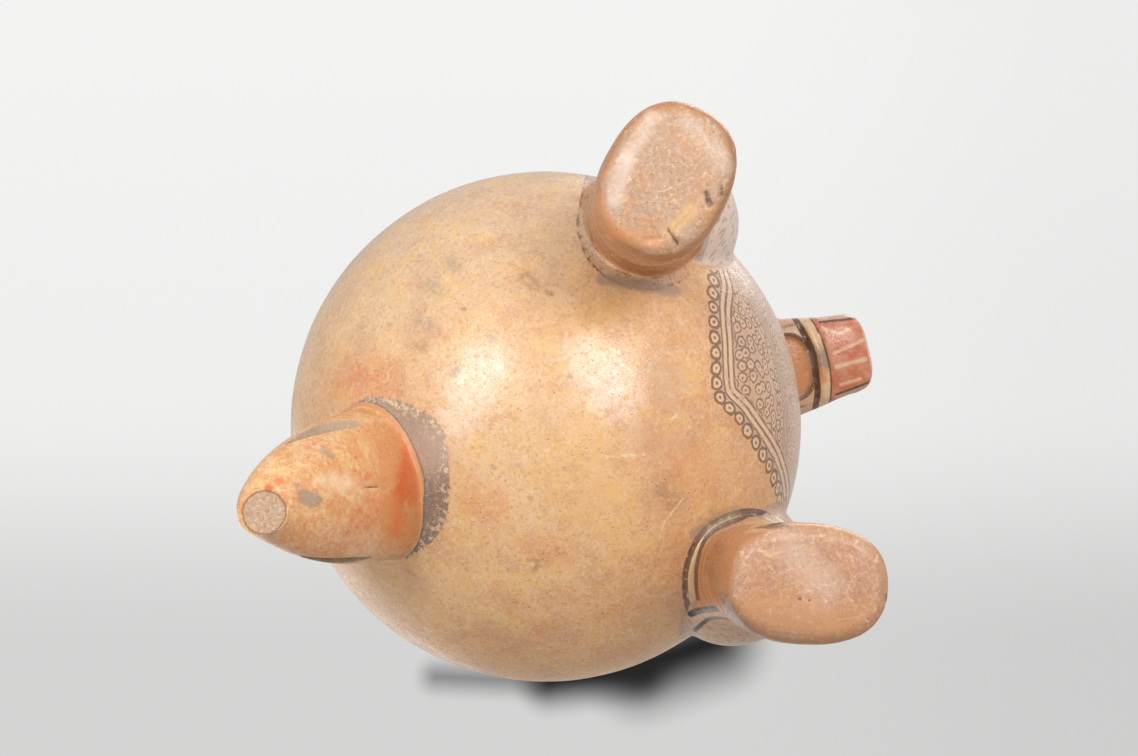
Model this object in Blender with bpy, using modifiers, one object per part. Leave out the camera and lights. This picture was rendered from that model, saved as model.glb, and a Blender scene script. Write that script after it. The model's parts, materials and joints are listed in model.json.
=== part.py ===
"""A jar in the form of a spotted cat: a hollow pear-shaped pot of fired clay on three hollow feet.

Metres, +Z up, standing on z = 0. The cat faces -Y and its left side is +X. Azimuths are degrees about the
jar's own upright axis, 0 at the front and growing towards the cat's left. Radii are measured from that axis.
"""

import math

import bmesh
import bpy
from mathutils import Matrix, Vector

# ------------------------------------------------------------------------------- jar
HEIGHT = 0.340  # from the soles to the lip
BELLY_RADIUS = 0.1175
BELLY_HEIGHT = 0.150  # where the belly is widest
BOWL_DEPTH = 0.105  # from there down to the rounded bottom
NECK_RADIUS = 0.077
NECK_HEIGHT = 0.262
RIM_RADIUS = 0.090
WALL = 0.0065
FLOOR_WALL = 0.0085  # the pot is thicker at its bottom
LIP_BAND = 0.0016  # how far the lip's band stands out of the neck
LIP_HEIGHT = 0.013
AXIS = Vector((-0.0002, 0.0170, 0.0))  # the jar's axis, placed so that the whole footprint is centred
SIDEWAYS, BACKWARDS, UPWARDS = Vector((1.0, 0.0, 0.0)), Vector((0.0, 1.0, 0.0)), Vector((0.0, 0.0, 1.0))

# ------------------------------------------------------------------------------- feet
SOLE_ROUND = 0.0085
SOLE_POWER = 2.4  # the power of the sole's superellipse
GROUND_CUT = 0.0008  # how much is cut off the soles to make them flat
SHAFT_TOP = 0.100
# share of the way from the sole up to the shaft's top, and the width and length there as shares of the sole's
FOOT_WIDTHS = ((0.09, 1.0), (0.16, 1.0), (0.34, 0.94), (0.52, 0.91), (0.75, 0.94), (1.0, 1.01), (1.2, 0.94))
FOOT_LENGTHS = ((0.09, 1.0), (0.16, 1.0), (0.34, 0.88), (0.52, 0.80), (0.75, 0.77), (1.0, 0.80), (1.2, 0.73))
SHAFT_POWER = 2.15
HAUNCH_RADIUS = 0.106
HAUNCH_HEIGHT = 0.127
HAUNCH_HALF = Vector((0.0350, 0.0350, 0.0440))
# the rattle chamber inside a foot and its haunch: height and radius
FOOT_CHAMBER = ((0.014, 0.0090), (0.022, 0.0158), (0.050, 0.0162), (0.085, 0.0175), (0.110, 0.0235),
                (0.130, 0.0270), (0.148, 0.0215), (0.158, 0.0090))
FOOT_SLIT_HEIGHT = 0.052
FOOT_SLIT_HALF = (0.0170, 0.0036)  # half its height and half its width
SLIT_POWER = 1.7  # below 2 draws the ends of a slit to points
SLIT_REACH = (0.005, 0.055)  # from the middle of a foot to well outside it
COLLAR_RADIUS = 0.0268
COLLAR_THICKNESS = 0.0032
# azimuth and radius of the sole's and the root's centres, the sole's half width and half length, the way the
# toes point, and the haunch's azimuth
FEET = {
    "right": {
        "side": -1, "sole": (-49.1, 0.1129), "root": (-50.0, 0.0985), "half": (0.0262, 0.0328), "toes": -48.0,
        "haunch": -45.5,
    },
    "left": {
        "side": 1, "sole": (44.5, 0.1226), "root": (51.5, 0.1050), "half": (0.0248, 0.0331), "toes": 18.0,
        "haunch": 52.0,
    },
}

# ------------------------------------------------------------------------------- tail foot
# level sections from the tip up: height, azimuth and radius of the middle, half sizes outwards and sideways
TAIL = ((0.000, 179.2, 0.1163, 0.0102, 0.0094), (0.004, 179.7, 0.1144, 0.0130, 0.0125),
        (0.012, 179.8, 0.1086, 0.0170, 0.0184), (0.024, 179.2, 0.1014, 0.0206, 0.0246),
        (0.042, 178.4, 0.0912, 0.0243, 0.0302), (0.062, 177.5, 0.0810, 0.0262, 0.0328),
        (0.080, 176.8, 0.0745, 0.0260, 0.0330), (0.094, 176.4, 0.0700, 0.0230, 0.0300))
TAIL_WALL = 0.0062
CHAMBER = (0.014, 0.066)  # heights of the rattle chamber's bottom and top
SLIT_HALF_WIDTH = 0.0038
# each slit's side, and the radius and height of its lower and upper end
SLITS = {"right": (-1, (0.1040, 0.0225), (0.0735, 0.0505)), "left": (1, (0.1090, 0.0215), (0.0830, 0.0470))}

# ------------------------------------------------------------------------------- head
HEAD_TURN = 1.7  # azimuth
# distance from the jar's axis, half width, height of the middle, half height
JAW = ((0.075, 0.0275, 0.2060, 0.0105), (0.100, 0.0268, 0.2052, 0.0102), (0.127, 0.0232, 0.2048, 0.0087),
       (0.144, 0.0200, 0.2052, 0.0082), (0.1530, 0.0194, 0.2058, 0.0077), (0.1578, 0.0168, 0.2062, 0.0066),
       (0.1606, 0.0100, 0.2066, 0.0042))
SKULL = ((0.070, 0.0270, 0.2360, 0.0260), (0.092, 0.0268, 0.2375, 0.0280), (0.109, 0.0258, 0.2375, 0.0262),
         (0.122, 0.0236, 0.2365, 0.0210), (0.133, 0.0214, 0.2350, 0.0158), (0.145, 0.0204, 0.2350, 0.0140),
         (0.1535, 0.0188, 0.2350, 0.0124), (0.1592, 0.0122, 0.2350, 0.0080))
BOXINESS = 2.8  # the power of the head's superellipse sections
MOUTH_BACK = 0.1240
MOUTH_FRONT = 0.1720
MOUTH_HEIGHT = 0.2170
MOUTH_GAPE = 0.0125
MOUTH_CORNER = 0.12  # the gape at the mouth's back as a share of that at its front
MOUTH_HALF_WIDTH = 0.04
EYE = (0.1205, 0.0165, 0.2535)  # distance from the axis, sideways, height
EYE_HALF = Vector((0.0072, 0.0072, 0.0072))
EAR = (0.0985, 0.0205, 0.2670)
EAR_HALF = Vector((0.0115, 0.0052, 0.0130))
EAR_LEAN = -12.0
NOSE = (0.1535, 0.0, 0.2465)
NOSE_HALF = Vector((0.0095, 0.0070, 0.0050))
WHISKER_PAD = (0.1480, 0.0090, 0.2290)
WHISKER_PAD_HALF = Vector((0.0098, 0.0105, 0.0085))
CHEEK = (0.1140, 0.0185, 0.2270)
CHEEK_HALF = Vector((0.0085, 0.0130, 0.0130))
FANG_RADIUS = 0.0036
UPPER_FANG = (0.1515, 0.0105, 0.2195)
LOWER_FANG = (0.1460, 0.0130, 0.2140)
FANG_LENGTH = 0.0140

# ------------------------------------------------------------------------------- forelimbs
ARM_PATH = ((50.0, 0.068, 0.252), (52.0, 0.083, 0.232), (50.0, 0.097, 0.212), (39.0, 0.104, 0.197),
            (26.0, 0.107, 0.190))  # azimuth, radius, height from shoulder to wrist
ARM_GIRTH = (0.0120, 0.0130, 0.0125, 0.0108, 0.0098)
ARM_BEVEL_STEPS = 4
ARM_STEPS = 4
PAW_HALF = Vector((0.0135, 0.0105, 0.0105))

# ------------------------------------------------------------------------------- fineness
SKIN_STEPS = 96
LIP_STEPS = 48
HOLLOW_STEPS = 40
RING_STEPS = 24
WELD = 0.00001
CLAY_GRAIN = 0.0025
SMOOTHING = 10
KEPT_SHARE = 0.043

CLAY = (0.62, 0.36, 0.20, 1.0)


# =============================================================================== helpers
def around(azimuth, radius, height):
    """The point at an azimuth in degrees, a radius from the jar's axis and a height."""
    angle = math.radians(azimuth)
    return Vector((radius * math.sin(angle), -radius * math.cos(angle), height))


def heading(azimuth):
    """The level unit vector that points along an azimuth."""
    return around(azimuth, 1.0, 0.0)


def between(table, place):
    """The value at place in a table of (place, value), along a smooth curve through them all."""
    last = len(table) - 1
    run = next((number for number in range(last) if place <= table[number + 1][0]), last - 1)
    (low, start), (high, end) = table[run], table[run + 1]
    span = high - low
    share = min(1.0, max(0.0, (place - low) / span))

    def slope(number):
        (before, first), (after, second) = table[max(0, number - 1)], table[min(last, number + 1)]
        return (second - first) / (after - before)

    rest = 1.0 - share
    return (
        start * rest**2 * (1.0 + 2.0 * share)
        + end * share**2 * (3.0 - 2.0 * share)
        + span * share * rest * (slope(run) * rest - slope(run + 1) * share)
    )


def add_object(name, mesh, collection):
    made = bpy.data.objects.new(name, mesh)
    made.location = AXIS
    collection.objects.link(made)
    return made


def as_cutter(made):
    """Keeps a helper solid out of the finished part."""
    made.hide_render = True
    made.display_type = "WIRE"
    return made


def turned(name, profile, steps, collection):
    """A solid turned about the jar's axis. The profile runs down its outer side, from axis to axis."""
    mesh = bpy.data.meshes.new(name)
    points = [(radius, 0.0, height) for radius, height in profile]
    mesh.from_pydata(points, [(i, i + 1) for i in range(len(points) - 1)], [])
    made = add_object(name, mesh, collection)
    screw = made.modifiers.new("turning", "SCREW")
    screw.axis = "Z"
    screw.angle = 2.0 * math.pi
    screw.steps = screw.render_steps = steps
    screw.use_merge_vertices = True
    screw.merge_threshold = WELD
    return made


def ring(centre, across, along, half_across, half_along, power=2.0):
    """A superellipse of points about centre, in the plane of two unit vectors."""
    points = []
    for step in range(RING_STEPS):
        angle = 2.0 * math.pi * step / RING_STEPS
        cosine, sine = math.cos(angle), math.sin(angle)
        x = math.copysign(abs(cosine) ** (2.0 / power), cosine) * half_across
        y = math.copysign(abs(sine) ** (2.0 / power), sine) * half_along
        points.append(centre + across * x + along * y)
    return points


def loft(name, rings, collection):
    """A closed skin through unlike rings of points, capped at both ends."""
    build = bmesh.new()
    loops = [[build.verts.new(point) for point in points] for points in rings]
    for lower, upper in zip(loops, loops[1:]):
        for step in range(RING_STEPS):
            after = (step + 1) % RING_STEPS
            build.faces.new((lower[step], lower[after], upper[after], upper[step]))
    build.faces.new(list(reversed(loops[0])))
    build.faces.new(loops[-1])
    bmesh.ops.recalc_face_normals(build, faces=build.faces)
    mesh = bpy.data.meshes.new(name)
    build.to_mesh(mesh)
    build.free()
    return add_object(name, mesh, collection)


def ellipsoid(name, centre, half, azimuth, collection, lean=0.0):
    """An ellipsoid with half sizes sideways, outwards and up, turned to an azimuth and leaned outwards."""
    place = (
        Matrix.Translation(centre)
        @ Matrix.Rotation(math.radians(azimuth), 4, "Z")
        @ Matrix.Rotation(math.radians(lean), 4, "X")
        @ Matrix.Diagonal((*half, 1.0))
    )
    build = bmesh.new()
    bmesh.ops.create_uvsphere(
        build, u_segments=RING_STEPS, v_segments=RING_STEPS // 2, radius=1.0, matrix=place
    )
    mesh = bpy.data.meshes.new(name)
    build.to_mesh(mesh)
    build.free()
    return add_object(name, mesh, collection)


# =============================================================================== jar
def bowl_point(angle, radius, depth):
    """A point of the bowl's quarter ellipse, from its widest ring at angle 0 to its bottom."""
    return radius * math.cos(angle), BELLY_HEIGHT - depth * math.sin(angle)


def shoulder_radius(height):
    """The outer radius from the belly's widest ring up to the neck, an S-shaped curve."""
    share = (height - BELLY_HEIGHT) / (NECK_HEIGHT - BELLY_HEIGHT)
    return NECK_RADIUS + (BELLY_RADIUS - NECK_RADIUS) * 0.5 * (1.0 + math.cos(math.pi * share))


def neck_radius(height):
    """The outer radius of the neck, which flares towards the lip."""
    share = (height - NECK_HEIGHT) / (HEIGHT - NECK_HEIGHT)
    return NECK_RADIUS + (RIM_RADIUS - NECK_RADIUS) * share**1.8


def spread(low, high, count):
    """Evenly spread numbers from low to high, with both ends."""
    return [low + (high - low) * step / (count - 1) for step in range(count)]


def wall_profile(inset, floor_inset, top, steps):
    """The jar's side from the top down to the bottom's centre, inset from the outer skin."""
    neck = [(neck_radius(min(height, HEIGHT)) - inset, height) for height in spread(top, NECK_HEIGHT, steps)]
    shoulder = [
        (shoulder_radius(height) - inset, height) for height in spread(NECK_HEIGHT, BELLY_HEIGHT, steps)
    ]
    bowl = [
        bowl_point(angle, BELLY_RADIUS - inset, BOWL_DEPTH - floor_inset)
        for angle in spread(0.0, 0.5 * math.pi, 2 * steps)
    ]
    return neck + shoulder[1:] + bowl[1:-1] + [(0.0, BELLY_HEIGHT - BOWL_DEPTH + floor_inset)]


def jar_skin(name, collection):
    """The whole jar as one filled solid, before it is hollowed."""
    below_lip = HEIGHT - 0.4 * LIP_HEIGHT
    return turned(name, [(0.0, below_lip)] + wall_profile(0.0, 0.0, below_lip, 12), SKIN_STEPS, collection)


def lip(name, collection):
    """The rounded band that ends the neck."""
    middle = HEIGHT - 0.5 * LIP_HEIGHT
    band = [
        (
            neck_radius(middle) - 0.5 * WALL + (0.5 * WALL + LIP_BAND) * math.cos(angle),
            middle + 0.5 * LIP_HEIGHT * math.sin(angle),
        )
        for angle in spread(0.5 * math.pi, -0.5 * math.pi, 8)
    ]
    return turned(name, [(0.0, HEIGHT)] + band + [(0.0, HEIGHT - LIP_HEIGHT)], LIP_STEPS, collection)


def hollow(name, collection):
    """The space inside the jar, open through the neck."""
    beyond = HEIGHT + 0.004
    profile = [(0.0, beyond)] + wall_profile(WALL, FLOOR_WALL, beyond, 6)
    return as_cutter(turned(name, profile, HOLLOW_STEPS, collection))


# =============================================================================== feet
def foot(name, facts, collection):
    """A foot: an oval flat-bottomed sole that rises and narrows into a round shaft under the haunch."""
    sole_centre, root_centre = around(*facts["sole"], 0.0), around(*facts["root"], SHAFT_TOP)
    half_width, half_length = facts["half"]
    toe_way = heading(facts["toes"])
    side_way = Vector((toe_way.y, -toe_way.x, 0.0))
    rings = []
    for angle in spread(0.0, 0.5 * math.pi, 5):
        height = SOLE_ROUND * (1.0 - math.cos(angle)) - GROUND_CUT
        drawn_in = SOLE_ROUND * (1.0 - math.sin(angle))
        rings.append(
            ring(
                sole_centre + Vector((0.0, 0.0, height)),
                side_way,
                toe_way,
                half_width - drawn_in,
                half_length - drawn_in,
                SOLE_POWER,
            )
        )
    for share in spread(0.12, 1.2, 13):
        half = (half_width * between(FOOT_WIDTHS, share), half_length * between(FOOT_LENGTHS, share))
        rings.append(ring(sole_centre.lerp(root_centre, share), side_way, toe_way, *half, SHAFT_POWER))
    return loft(name, rings, collection)


def collar(name, root, collection):
    """The roll of clay pressed round the root of a foot, tilted to lie on the bowl."""
    azimuth, radius = root
    angle = math.acos(radius / BELLY_RADIUS)
    _, height = bowl_point(angle, BELLY_RADIUS, BOWL_DEPTH)
    slope = math.degrees(math.atan2(BOWL_DEPTH * math.cos(angle), BELLY_RADIUS * math.sin(angle)))
    bpy.ops.mesh.primitive_torus_add(
        major_segments=2 * RING_STEPS,
        minor_segments=RING_STEPS // 2,
        major_radius=COLLAR_RADIUS,
        minor_radius=COLLAR_THICKNESS,
    )
    made = bpy.context.object
    made.name = name
    tilt = Matrix.Rotation(math.radians(azimuth), 4, "Z") @ Matrix.Rotation(math.radians(slope), 4, "X")
    made.data.transform(Matrix.Translation(around(azimuth, radius, height)) @ tilt)
    made.location = AXIS
    for home in list(made.users_collection):
        home.objects.unlink(made)
    collection.objects.link(made)
    return made


def haunch(name, azimuth, collection):
    """The rounded thigh that swells out of the belly above a foot."""
    return ellipsoid(name, around(azimuth, HAUNCH_RADIUS, HAUNCH_HEIGHT), HAUNCH_HALF, azimuth, collection)


def foot_middle(facts, height):
    """The middle of a foot and its haunch at a height."""
    line = (
        around(*facts["sole"], 0.0),
        around(*facts["root"], SHAFT_TOP),
        around(facts["haunch"], HAUNCH_RADIUS, HAUNCH_HEIGHT),
    )
    x, y = (between([(point.z, point[axis]) for point in line], height) for axis in (0, 1))
    return Vector((x, y, height))


def foot_chamber(name, facts, skin, collection):
    """The hollow inside a foot and its haunch, kept out of the jar's own wall."""
    rings = []
    for height in spread(FOOT_CHAMBER[0][0], FOOT_CHAMBER[-1][0], 10):
        radius = between(FOOT_CHAMBER, height)
        middle = foot_middle(facts, height)
        rings.append(ring(middle, SIDEWAYS, BACKWARDS, radius, radius))
    chamber = as_cutter(loft(name, rings, collection))
    clear = chamber.modifiers.new("clear of the jar's wall", "BOOLEAN")
    clear.operation = "DIFFERENCE"
    clear.solver = "EXACT"
    clear.object = skin
    return chamber


def foot_slit(name, facts, collection):
    """The upright slit that opens a foot's chamber on its outer side."""
    middle = foot_middle(facts, FOOT_SLIT_HEIGHT)
    outwards = Vector((middle.x, middle.y, 0.0)).normalized()
    across = Vector((-outwards.y, outwards.x, 0.0))
    rings = [
        ring(middle + outwards * reach, UPWARDS, across, *FOOT_SLIT_HALF, SLIT_POWER) for reach in SLIT_REACH
    ]
    return as_cutter(loft(name, rings, collection))


# =============================================================================== tail foot
def tail_section(height):
    """The tail's level section at a height: its centre, and its half sizes outwards and sideways."""
    azimuth, radius, outwards, sideways = (
        between([(row[0], row[column]) for row in TAIL], height) for column in range(1, len(TAIL[0]))
    )
    return around(azimuth, radius, height), outwards, sideways


def tail_ring(height, inset=0.0):
    """The ring of the tail's skin at a height, drawn in by an inset."""
    centre, outwards, sideways = tail_section(height)
    return ring(centre, SIDEWAYS, BACKWARDS, sideways - inset, outwards - inset)


def tail(name, collection):
    """The bullet-shaped tail that makes the third foot, cut flat at its tip."""
    below = [point - Vector((0.0, 0.0, CLAY_GRAIN)) for point in tail_ring(0.0, 0.0005)]
    top = TAIL[-1][0]
    heights = [top * share**1.5 for share in spread(0.0, 1.0, 24)]
    return loft(name, [below] + [tail_ring(height) for height in heights], collection)


def rattle_chamber(name, collection):
    """The hollow inside the tail foot, rounded at its bottom and top."""
    low, high = CHAMBER
    rings = []
    for height in spread(low, high, 9):
        across = 2.0 * (height - low) / (high - low) - 1.0
        rounding = math.sqrt(max(0.05, 1.0 - across**4))
        centre, outwards, sideways = tail_section(height)
        wall = 1.25 * TAIL_WALL  # level sections cut the slanting wall aslant
        half = (rounding * (sideways - wall), rounding * (outwards - wall))
        rings.append(ring(centre, SIDEWAYS, BACKWARDS, *half))
    return as_cutter(loft(name, rings, collection))


def slits(collection):
    """The long lens-shaped slit through each side of the tail into its chamber."""
    for word, (side, lower, upper) in SLITS.items():
        start, end = (around(180.0, radius, height) for radius, height in (lower, upper))
        middle, along = start.lerp(end, 0.5), (end - start).normalized()
        half = (0.5 * (end - start).length, SLIT_HALF_WIDTH)
        rings = [
            ring(middle + SIDEWAYS * side * reach, along, SIDEWAYS.cross(along), *half, SLIT_POWER)
            for reach in SLIT_REACH
        ]
        as_cutter(loft(f"{word}_slit", rings, collection))


# =============================================================================== head
def in_head(out, sideways, height):
    """A point of the head: its distance from the jar's axis, its way to the cat's left, and its height."""
    turn = Matrix.Rotation(math.radians(HEAD_TURN), 3, "Z")
    return turn @ Vector((sideways, -out, height))


def muzzle(name, sections, collection):
    """A boxy form with rounded corners along the head."""
    turn = Matrix.Rotation(math.radians(HEAD_TURN), 3, "Z")
    rings = [
        ring(
            in_head(out, 0.0, height),
            turn @ SIDEWAYS,
            UPWARDS,
            half_width,
            half_height,
            BOXINESS,
        )
        for out, half_width, height, half_height in sections
    ]
    return loft(name, rings, collection)


def head(collection):
    """The cat's head: lower jaw, skull with the upper jaw, nose, whisker pads, cheeks, eyes and ears."""
    muzzle("lower_jaw", JAW, collection)
    muzzle("skull", SKULL, collection)
    ellipsoid("nose", in_head(*NOSE), NOSE_HALF, HEAD_TURN, collection)
    pairs = {
        "eye": (EYE, EYE_HALF, 0.0),
        "ear": (EAR, EAR_HALF, EAR_LEAN),
        "whisker_pad": (WHISKER_PAD, WHISKER_PAD_HALF, 0.0),
        "cheek": (CHEEK, CHEEK_HALF, 0.0),
    }
    for side, word in ((-1, "right"), (1, "left")):
        for feature, ((out, sideways, height), half, lean) in pairs.items():
            centre = in_head(out, side * sideways, height)
            ellipsoid(f"{word}_{feature}", centre, half, HEAD_TURN, collection, lean)


def mouth(name, collection):
    """The wedge that opens the jaws."""
    build = bmesh.new()
    bmesh.ops.create_cube(build, size=1.0)
    for vert in build.verts:
        out, gape = (MOUTH_FRONT, MOUTH_GAPE) if vert.co.y < 0.0 else (MOUTH_BACK, MOUTH_CORNER * MOUTH_GAPE)
        rise = math.copysign(0.5 * gape, vert.co.z)
        vert.co = in_head(out, math.copysign(MOUTH_HALF_WIDTH, vert.co.x), MOUTH_HEIGHT + rise)
    mesh = bpy.data.meshes.new(name)
    build.to_mesh(mesh)
    build.free()
    return as_cutter(add_object(name, mesh, collection))


def fangs(collection):
    """Four canines: two hang from the upper jaw and two stand on the lower."""
    for side, word in ((-1, "right"), (1, "left")):
        for jaw, (out, sideways, height), way in (("upper", UPPER_FANG, -1), ("lower", LOWER_FANG, 1)):
            root = in_head(out, side * sideways, height - way * 0.5 * FANG_LENGTH)
            build = bmesh.new()
            bmesh.ops.create_cone(
                build,
                cap_ends=True,
                segments=8,
                radius1=FANG_RADIUS,
                radius2=0.3 * FANG_RADIUS,
                depth=FANG_LENGTH,
                matrix=Matrix.Translation(root + Vector((0.0, 0.0, way * 0.5 * FANG_LENGTH)))
                @ Matrix.Rotation(0.0 if way > 0 else math.pi, 4, "X"),
            )
            mesh = bpy.data.meshes.new(f"{word}_{jaw}_fang")
            build.to_mesh(mesh)
            build.free()
            as_cutter(add_object(mesh.name, mesh, collection))


# =============================================================================== forelimbs
def arm(word, side, collection):
    """A forelimb in relief from the shoulder down and forward to a paw under the head."""
    curve = bpy.data.curves.new(f"{word}_forelimb", "CURVE")
    curve.dimensions = "3D"
    curve.bevel_depth = 1.0  # so that each point's radius is in metres
    curve.bevel_resolution = ARM_BEVEL_STEPS
    curve.use_fill_caps = True
    route = curve.splines.new("BEZIER")
    route.resolution_u = ARM_STEPS
    route.bezier_points.add(len(ARM_PATH) - 1)
    for point, (azimuth, radius, height), girth in zip(route.bezier_points, ARM_PATH, ARM_GIRTH):
        point.co = around(side * azimuth, radius, height)
        point.handle_left_type = point.handle_right_type = "AUTO"
        point.radius = girth
    tube = add_object(curve.name, curve, collection)
    mesh = bpy.data.meshes.new_from_object(tube.evaluated_get(bpy.context.evaluated_depsgraph_get()))
    bpy.data.objects.remove(tube, do_unlink=True)
    build = bmesh.new()
    build.from_mesh(mesh)
    bmesh.ops.remove_doubles(build, verts=build.verts, dist=WELD)
    bmesh.ops.recalc_face_normals(build, faces=build.faces)
    build.to_mesh(mesh)
    build.free()
    add_object(curve.name, mesh, collection)
    azimuth, radius, height = ARM_PATH[-1]
    ellipsoid(f"{word}_paw", around(side * azimuth, radius, height), PAW_HALF, side * azimuth, collection)


# =============================================================================== assembly
def boolean(target, name, operation, collection):
    cut = target.modifiers.new(name, "BOOLEAN")
    cut.operation = operation
    cut.solver = "EXACT"
    cut.operand_type = "COLLECTION"
    cut.collection = collection


def ground(name, collection):
    """Everything below the floor, cut away so that the soles and the tail's tip are flat."""
    size, depth = 0.6, 0.05
    build = bmesh.new()
    bmesh.ops.create_cube(build, size=1.0)
    for vert in build.verts:
        vert.co = Vector((vert.co.x * size, vert.co.y * size, -depth if vert.co.z < 0.0 else 0.0))
    mesh = bpy.data.meshes.new(name)
    build.to_mesh(mesh)
    build.free()
    return as_cutter(add_object(name, mesh, collection))


def clay():
    material = bpy.data.materials.new("painted_clay")
    material.use_nodes = True
    shader = material.node_tree.nodes["Principled BSDF"]
    shader.inputs["Base Color"].default_value = CLAY
    shader.inputs["Roughness"].default_value = 0.40
    shader.inputs["Metallic"].default_value = 0.0
    return material


def new_collection(name):
    collection = bpy.data.collections.new(name)
    bpy.context.scene.collection.children.link(collection)
    return collection


def main():
    for old in list(bpy.data.objects):
        bpy.data.objects.remove(old, do_unlink=True)
    parts = new_collection("zoomorphic_vessel")
    limbs, lips, cutters, teeth, guides = (
        new_collection(name) for name in ("limbs", "lips", "cutters", "teeth", "guides")
    )

    for word, facts in FEET.items():
        foot(f"{word}_foot", facts, limbs)
        haunch(f"{word}_haunch", facts["haunch"], limbs)
        arm(word, facts["side"], limbs)
    collar("right_collar", FEET["right"]["root"], limbs)
    tail("tail_foot", limbs)
    head(limbs)
    for limb in limbs.objects:
        as_cutter(limb)
    as_cutter(lip("lip_band", lips))
    hollow("jar_hollow", cutters)
    skin = as_cutter(jar_skin("jar_skin", guides))
    for word, facts in FEET.items():
        foot_chamber(f"{word}_foot_chamber", facts, skin, cutters)
        foot_slit(f"{word}_foot_slit", facts, cutters)
    rattle_chamber("rattle_chamber", cutters)
    slits(cutters)
    mouth("mouth", cutters)
    ground("ground", cutters)
    fangs(teeth)

    vessel = jar_skin("vessel", parts)
    boolean(vessel, "limbs joined on", "UNION", limbs)
    grain = vessel.modifiers.new("one lump of clay", "REMESH")
    grain.mode = "VOXEL"
    grain.voxel_size = CLAY_GRAIN
    grain.use_smooth_shade = True
    smoothing = vessel.modifiers.new("smoothed joins", "SMOOTH")
    smoothing.factor = 0.5
    smoothing.iterations = SMOOTHING
    thinning = vessel.modifiers.new("fewer faces", "DECIMATE")
    thinning.ratio = KEPT_SHARE
    boolean(vessel, "lip", "UNION", lips)
    boolean(vessel, "hollowed and cut", "DIFFERENCE", cutters)
    boolean(vessel, "fangs", "UNION", teeth)
    vessel.data.materials.append(clay())


main()
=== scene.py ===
"""A jar in the form of a spotted cat: its fine surface, its slip and paint, and the studio round it.

Metres, +Z up, standing on z = 0. The cat faces -Y and its left side is +X. Azimuths are degrees about the
jar's own upright axis, 0 at the front and growing towards the cat's left. Meshes are made about that axis
and shifted to it at the end.
"""

import json
import logging
import math
from dataclasses import dataclass, field
from enum import Enum
from typing import Callable, Iterable, Sequence

import bmesh
import bpy
import numpy as np
from mathutils import Matrix, Vector, noise
from mathutils.bvhtree import BVHTree


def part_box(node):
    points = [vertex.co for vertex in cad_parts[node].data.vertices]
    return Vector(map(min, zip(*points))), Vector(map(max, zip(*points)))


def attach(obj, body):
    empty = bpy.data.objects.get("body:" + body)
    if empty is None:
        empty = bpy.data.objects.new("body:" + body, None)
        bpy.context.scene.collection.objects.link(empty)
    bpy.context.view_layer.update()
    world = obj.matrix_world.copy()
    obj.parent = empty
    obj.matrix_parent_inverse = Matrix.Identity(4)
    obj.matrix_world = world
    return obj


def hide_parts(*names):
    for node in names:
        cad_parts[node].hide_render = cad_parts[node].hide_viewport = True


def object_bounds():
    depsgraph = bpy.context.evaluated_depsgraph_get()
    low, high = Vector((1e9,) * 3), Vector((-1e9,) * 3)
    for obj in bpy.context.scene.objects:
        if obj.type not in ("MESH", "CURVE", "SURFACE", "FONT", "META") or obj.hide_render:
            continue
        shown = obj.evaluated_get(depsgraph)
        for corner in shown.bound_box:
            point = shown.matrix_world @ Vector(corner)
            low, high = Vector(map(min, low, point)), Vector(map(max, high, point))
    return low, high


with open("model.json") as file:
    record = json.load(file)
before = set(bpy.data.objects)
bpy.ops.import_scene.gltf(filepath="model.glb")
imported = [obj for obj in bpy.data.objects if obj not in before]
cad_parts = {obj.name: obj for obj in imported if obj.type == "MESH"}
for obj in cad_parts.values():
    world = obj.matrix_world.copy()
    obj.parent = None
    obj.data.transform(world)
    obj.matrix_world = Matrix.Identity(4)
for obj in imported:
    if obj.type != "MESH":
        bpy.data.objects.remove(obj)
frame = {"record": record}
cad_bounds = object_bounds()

log = logging.getLogger("cat_jar")

SIDEWAYS, BACKWARDS, UPWARDS = Vector((1.0, 0.0, 0.0)), Vector((0.0, 1.0, 0.0)), Vector((0.0, 0.0, 1.0))
MM = 0.001
WELD = 0.00001
FAR = 0.3
RING_STEPS = 48
BELT_RADIUS = 0.095  # the radius that turns the bib's azimuths into lengths
LINE_STEP = 0.0012  # how finely a smooth line is followed
SLIT_REACH = (0.005, 0.055)  # a slit's cutter, from inside the chamber to outside the skin
SLIT_POWER = 1.7


class Finish(Enum):
    """The finishes of the vessel's faces. The value is the material's slot on every mesh."""

    BELLY = 0
    BIB = 1
    UPPER = 2
    LEG = 3
    TAIL = 4
    HEAD = 5
    FORELIMB = 6
    BARE = 7
    CREAM = 8


class Side(Enum):
    """The cat's two sides. The value is the sign of the side's X."""

    RIGHT = -1
    LEFT = 1


# ---------------- small mesh helpers
def around(azimuth: float, radius: float, height: float) -> Vector:
    """The point at an azimuth in degrees, a radius from the jar's axis and a height."""
    angle = math.radians(azimuth)
    return Vector((radius * math.sin(angle), -radius * math.cos(angle), height))


def spread(low: float, high: float, count: int) -> list[float]:
    """Evenly spread numbers from low to high, with both ends."""
    return [low + (high - low) * step / (count - 1) for step in range(count)]


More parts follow.
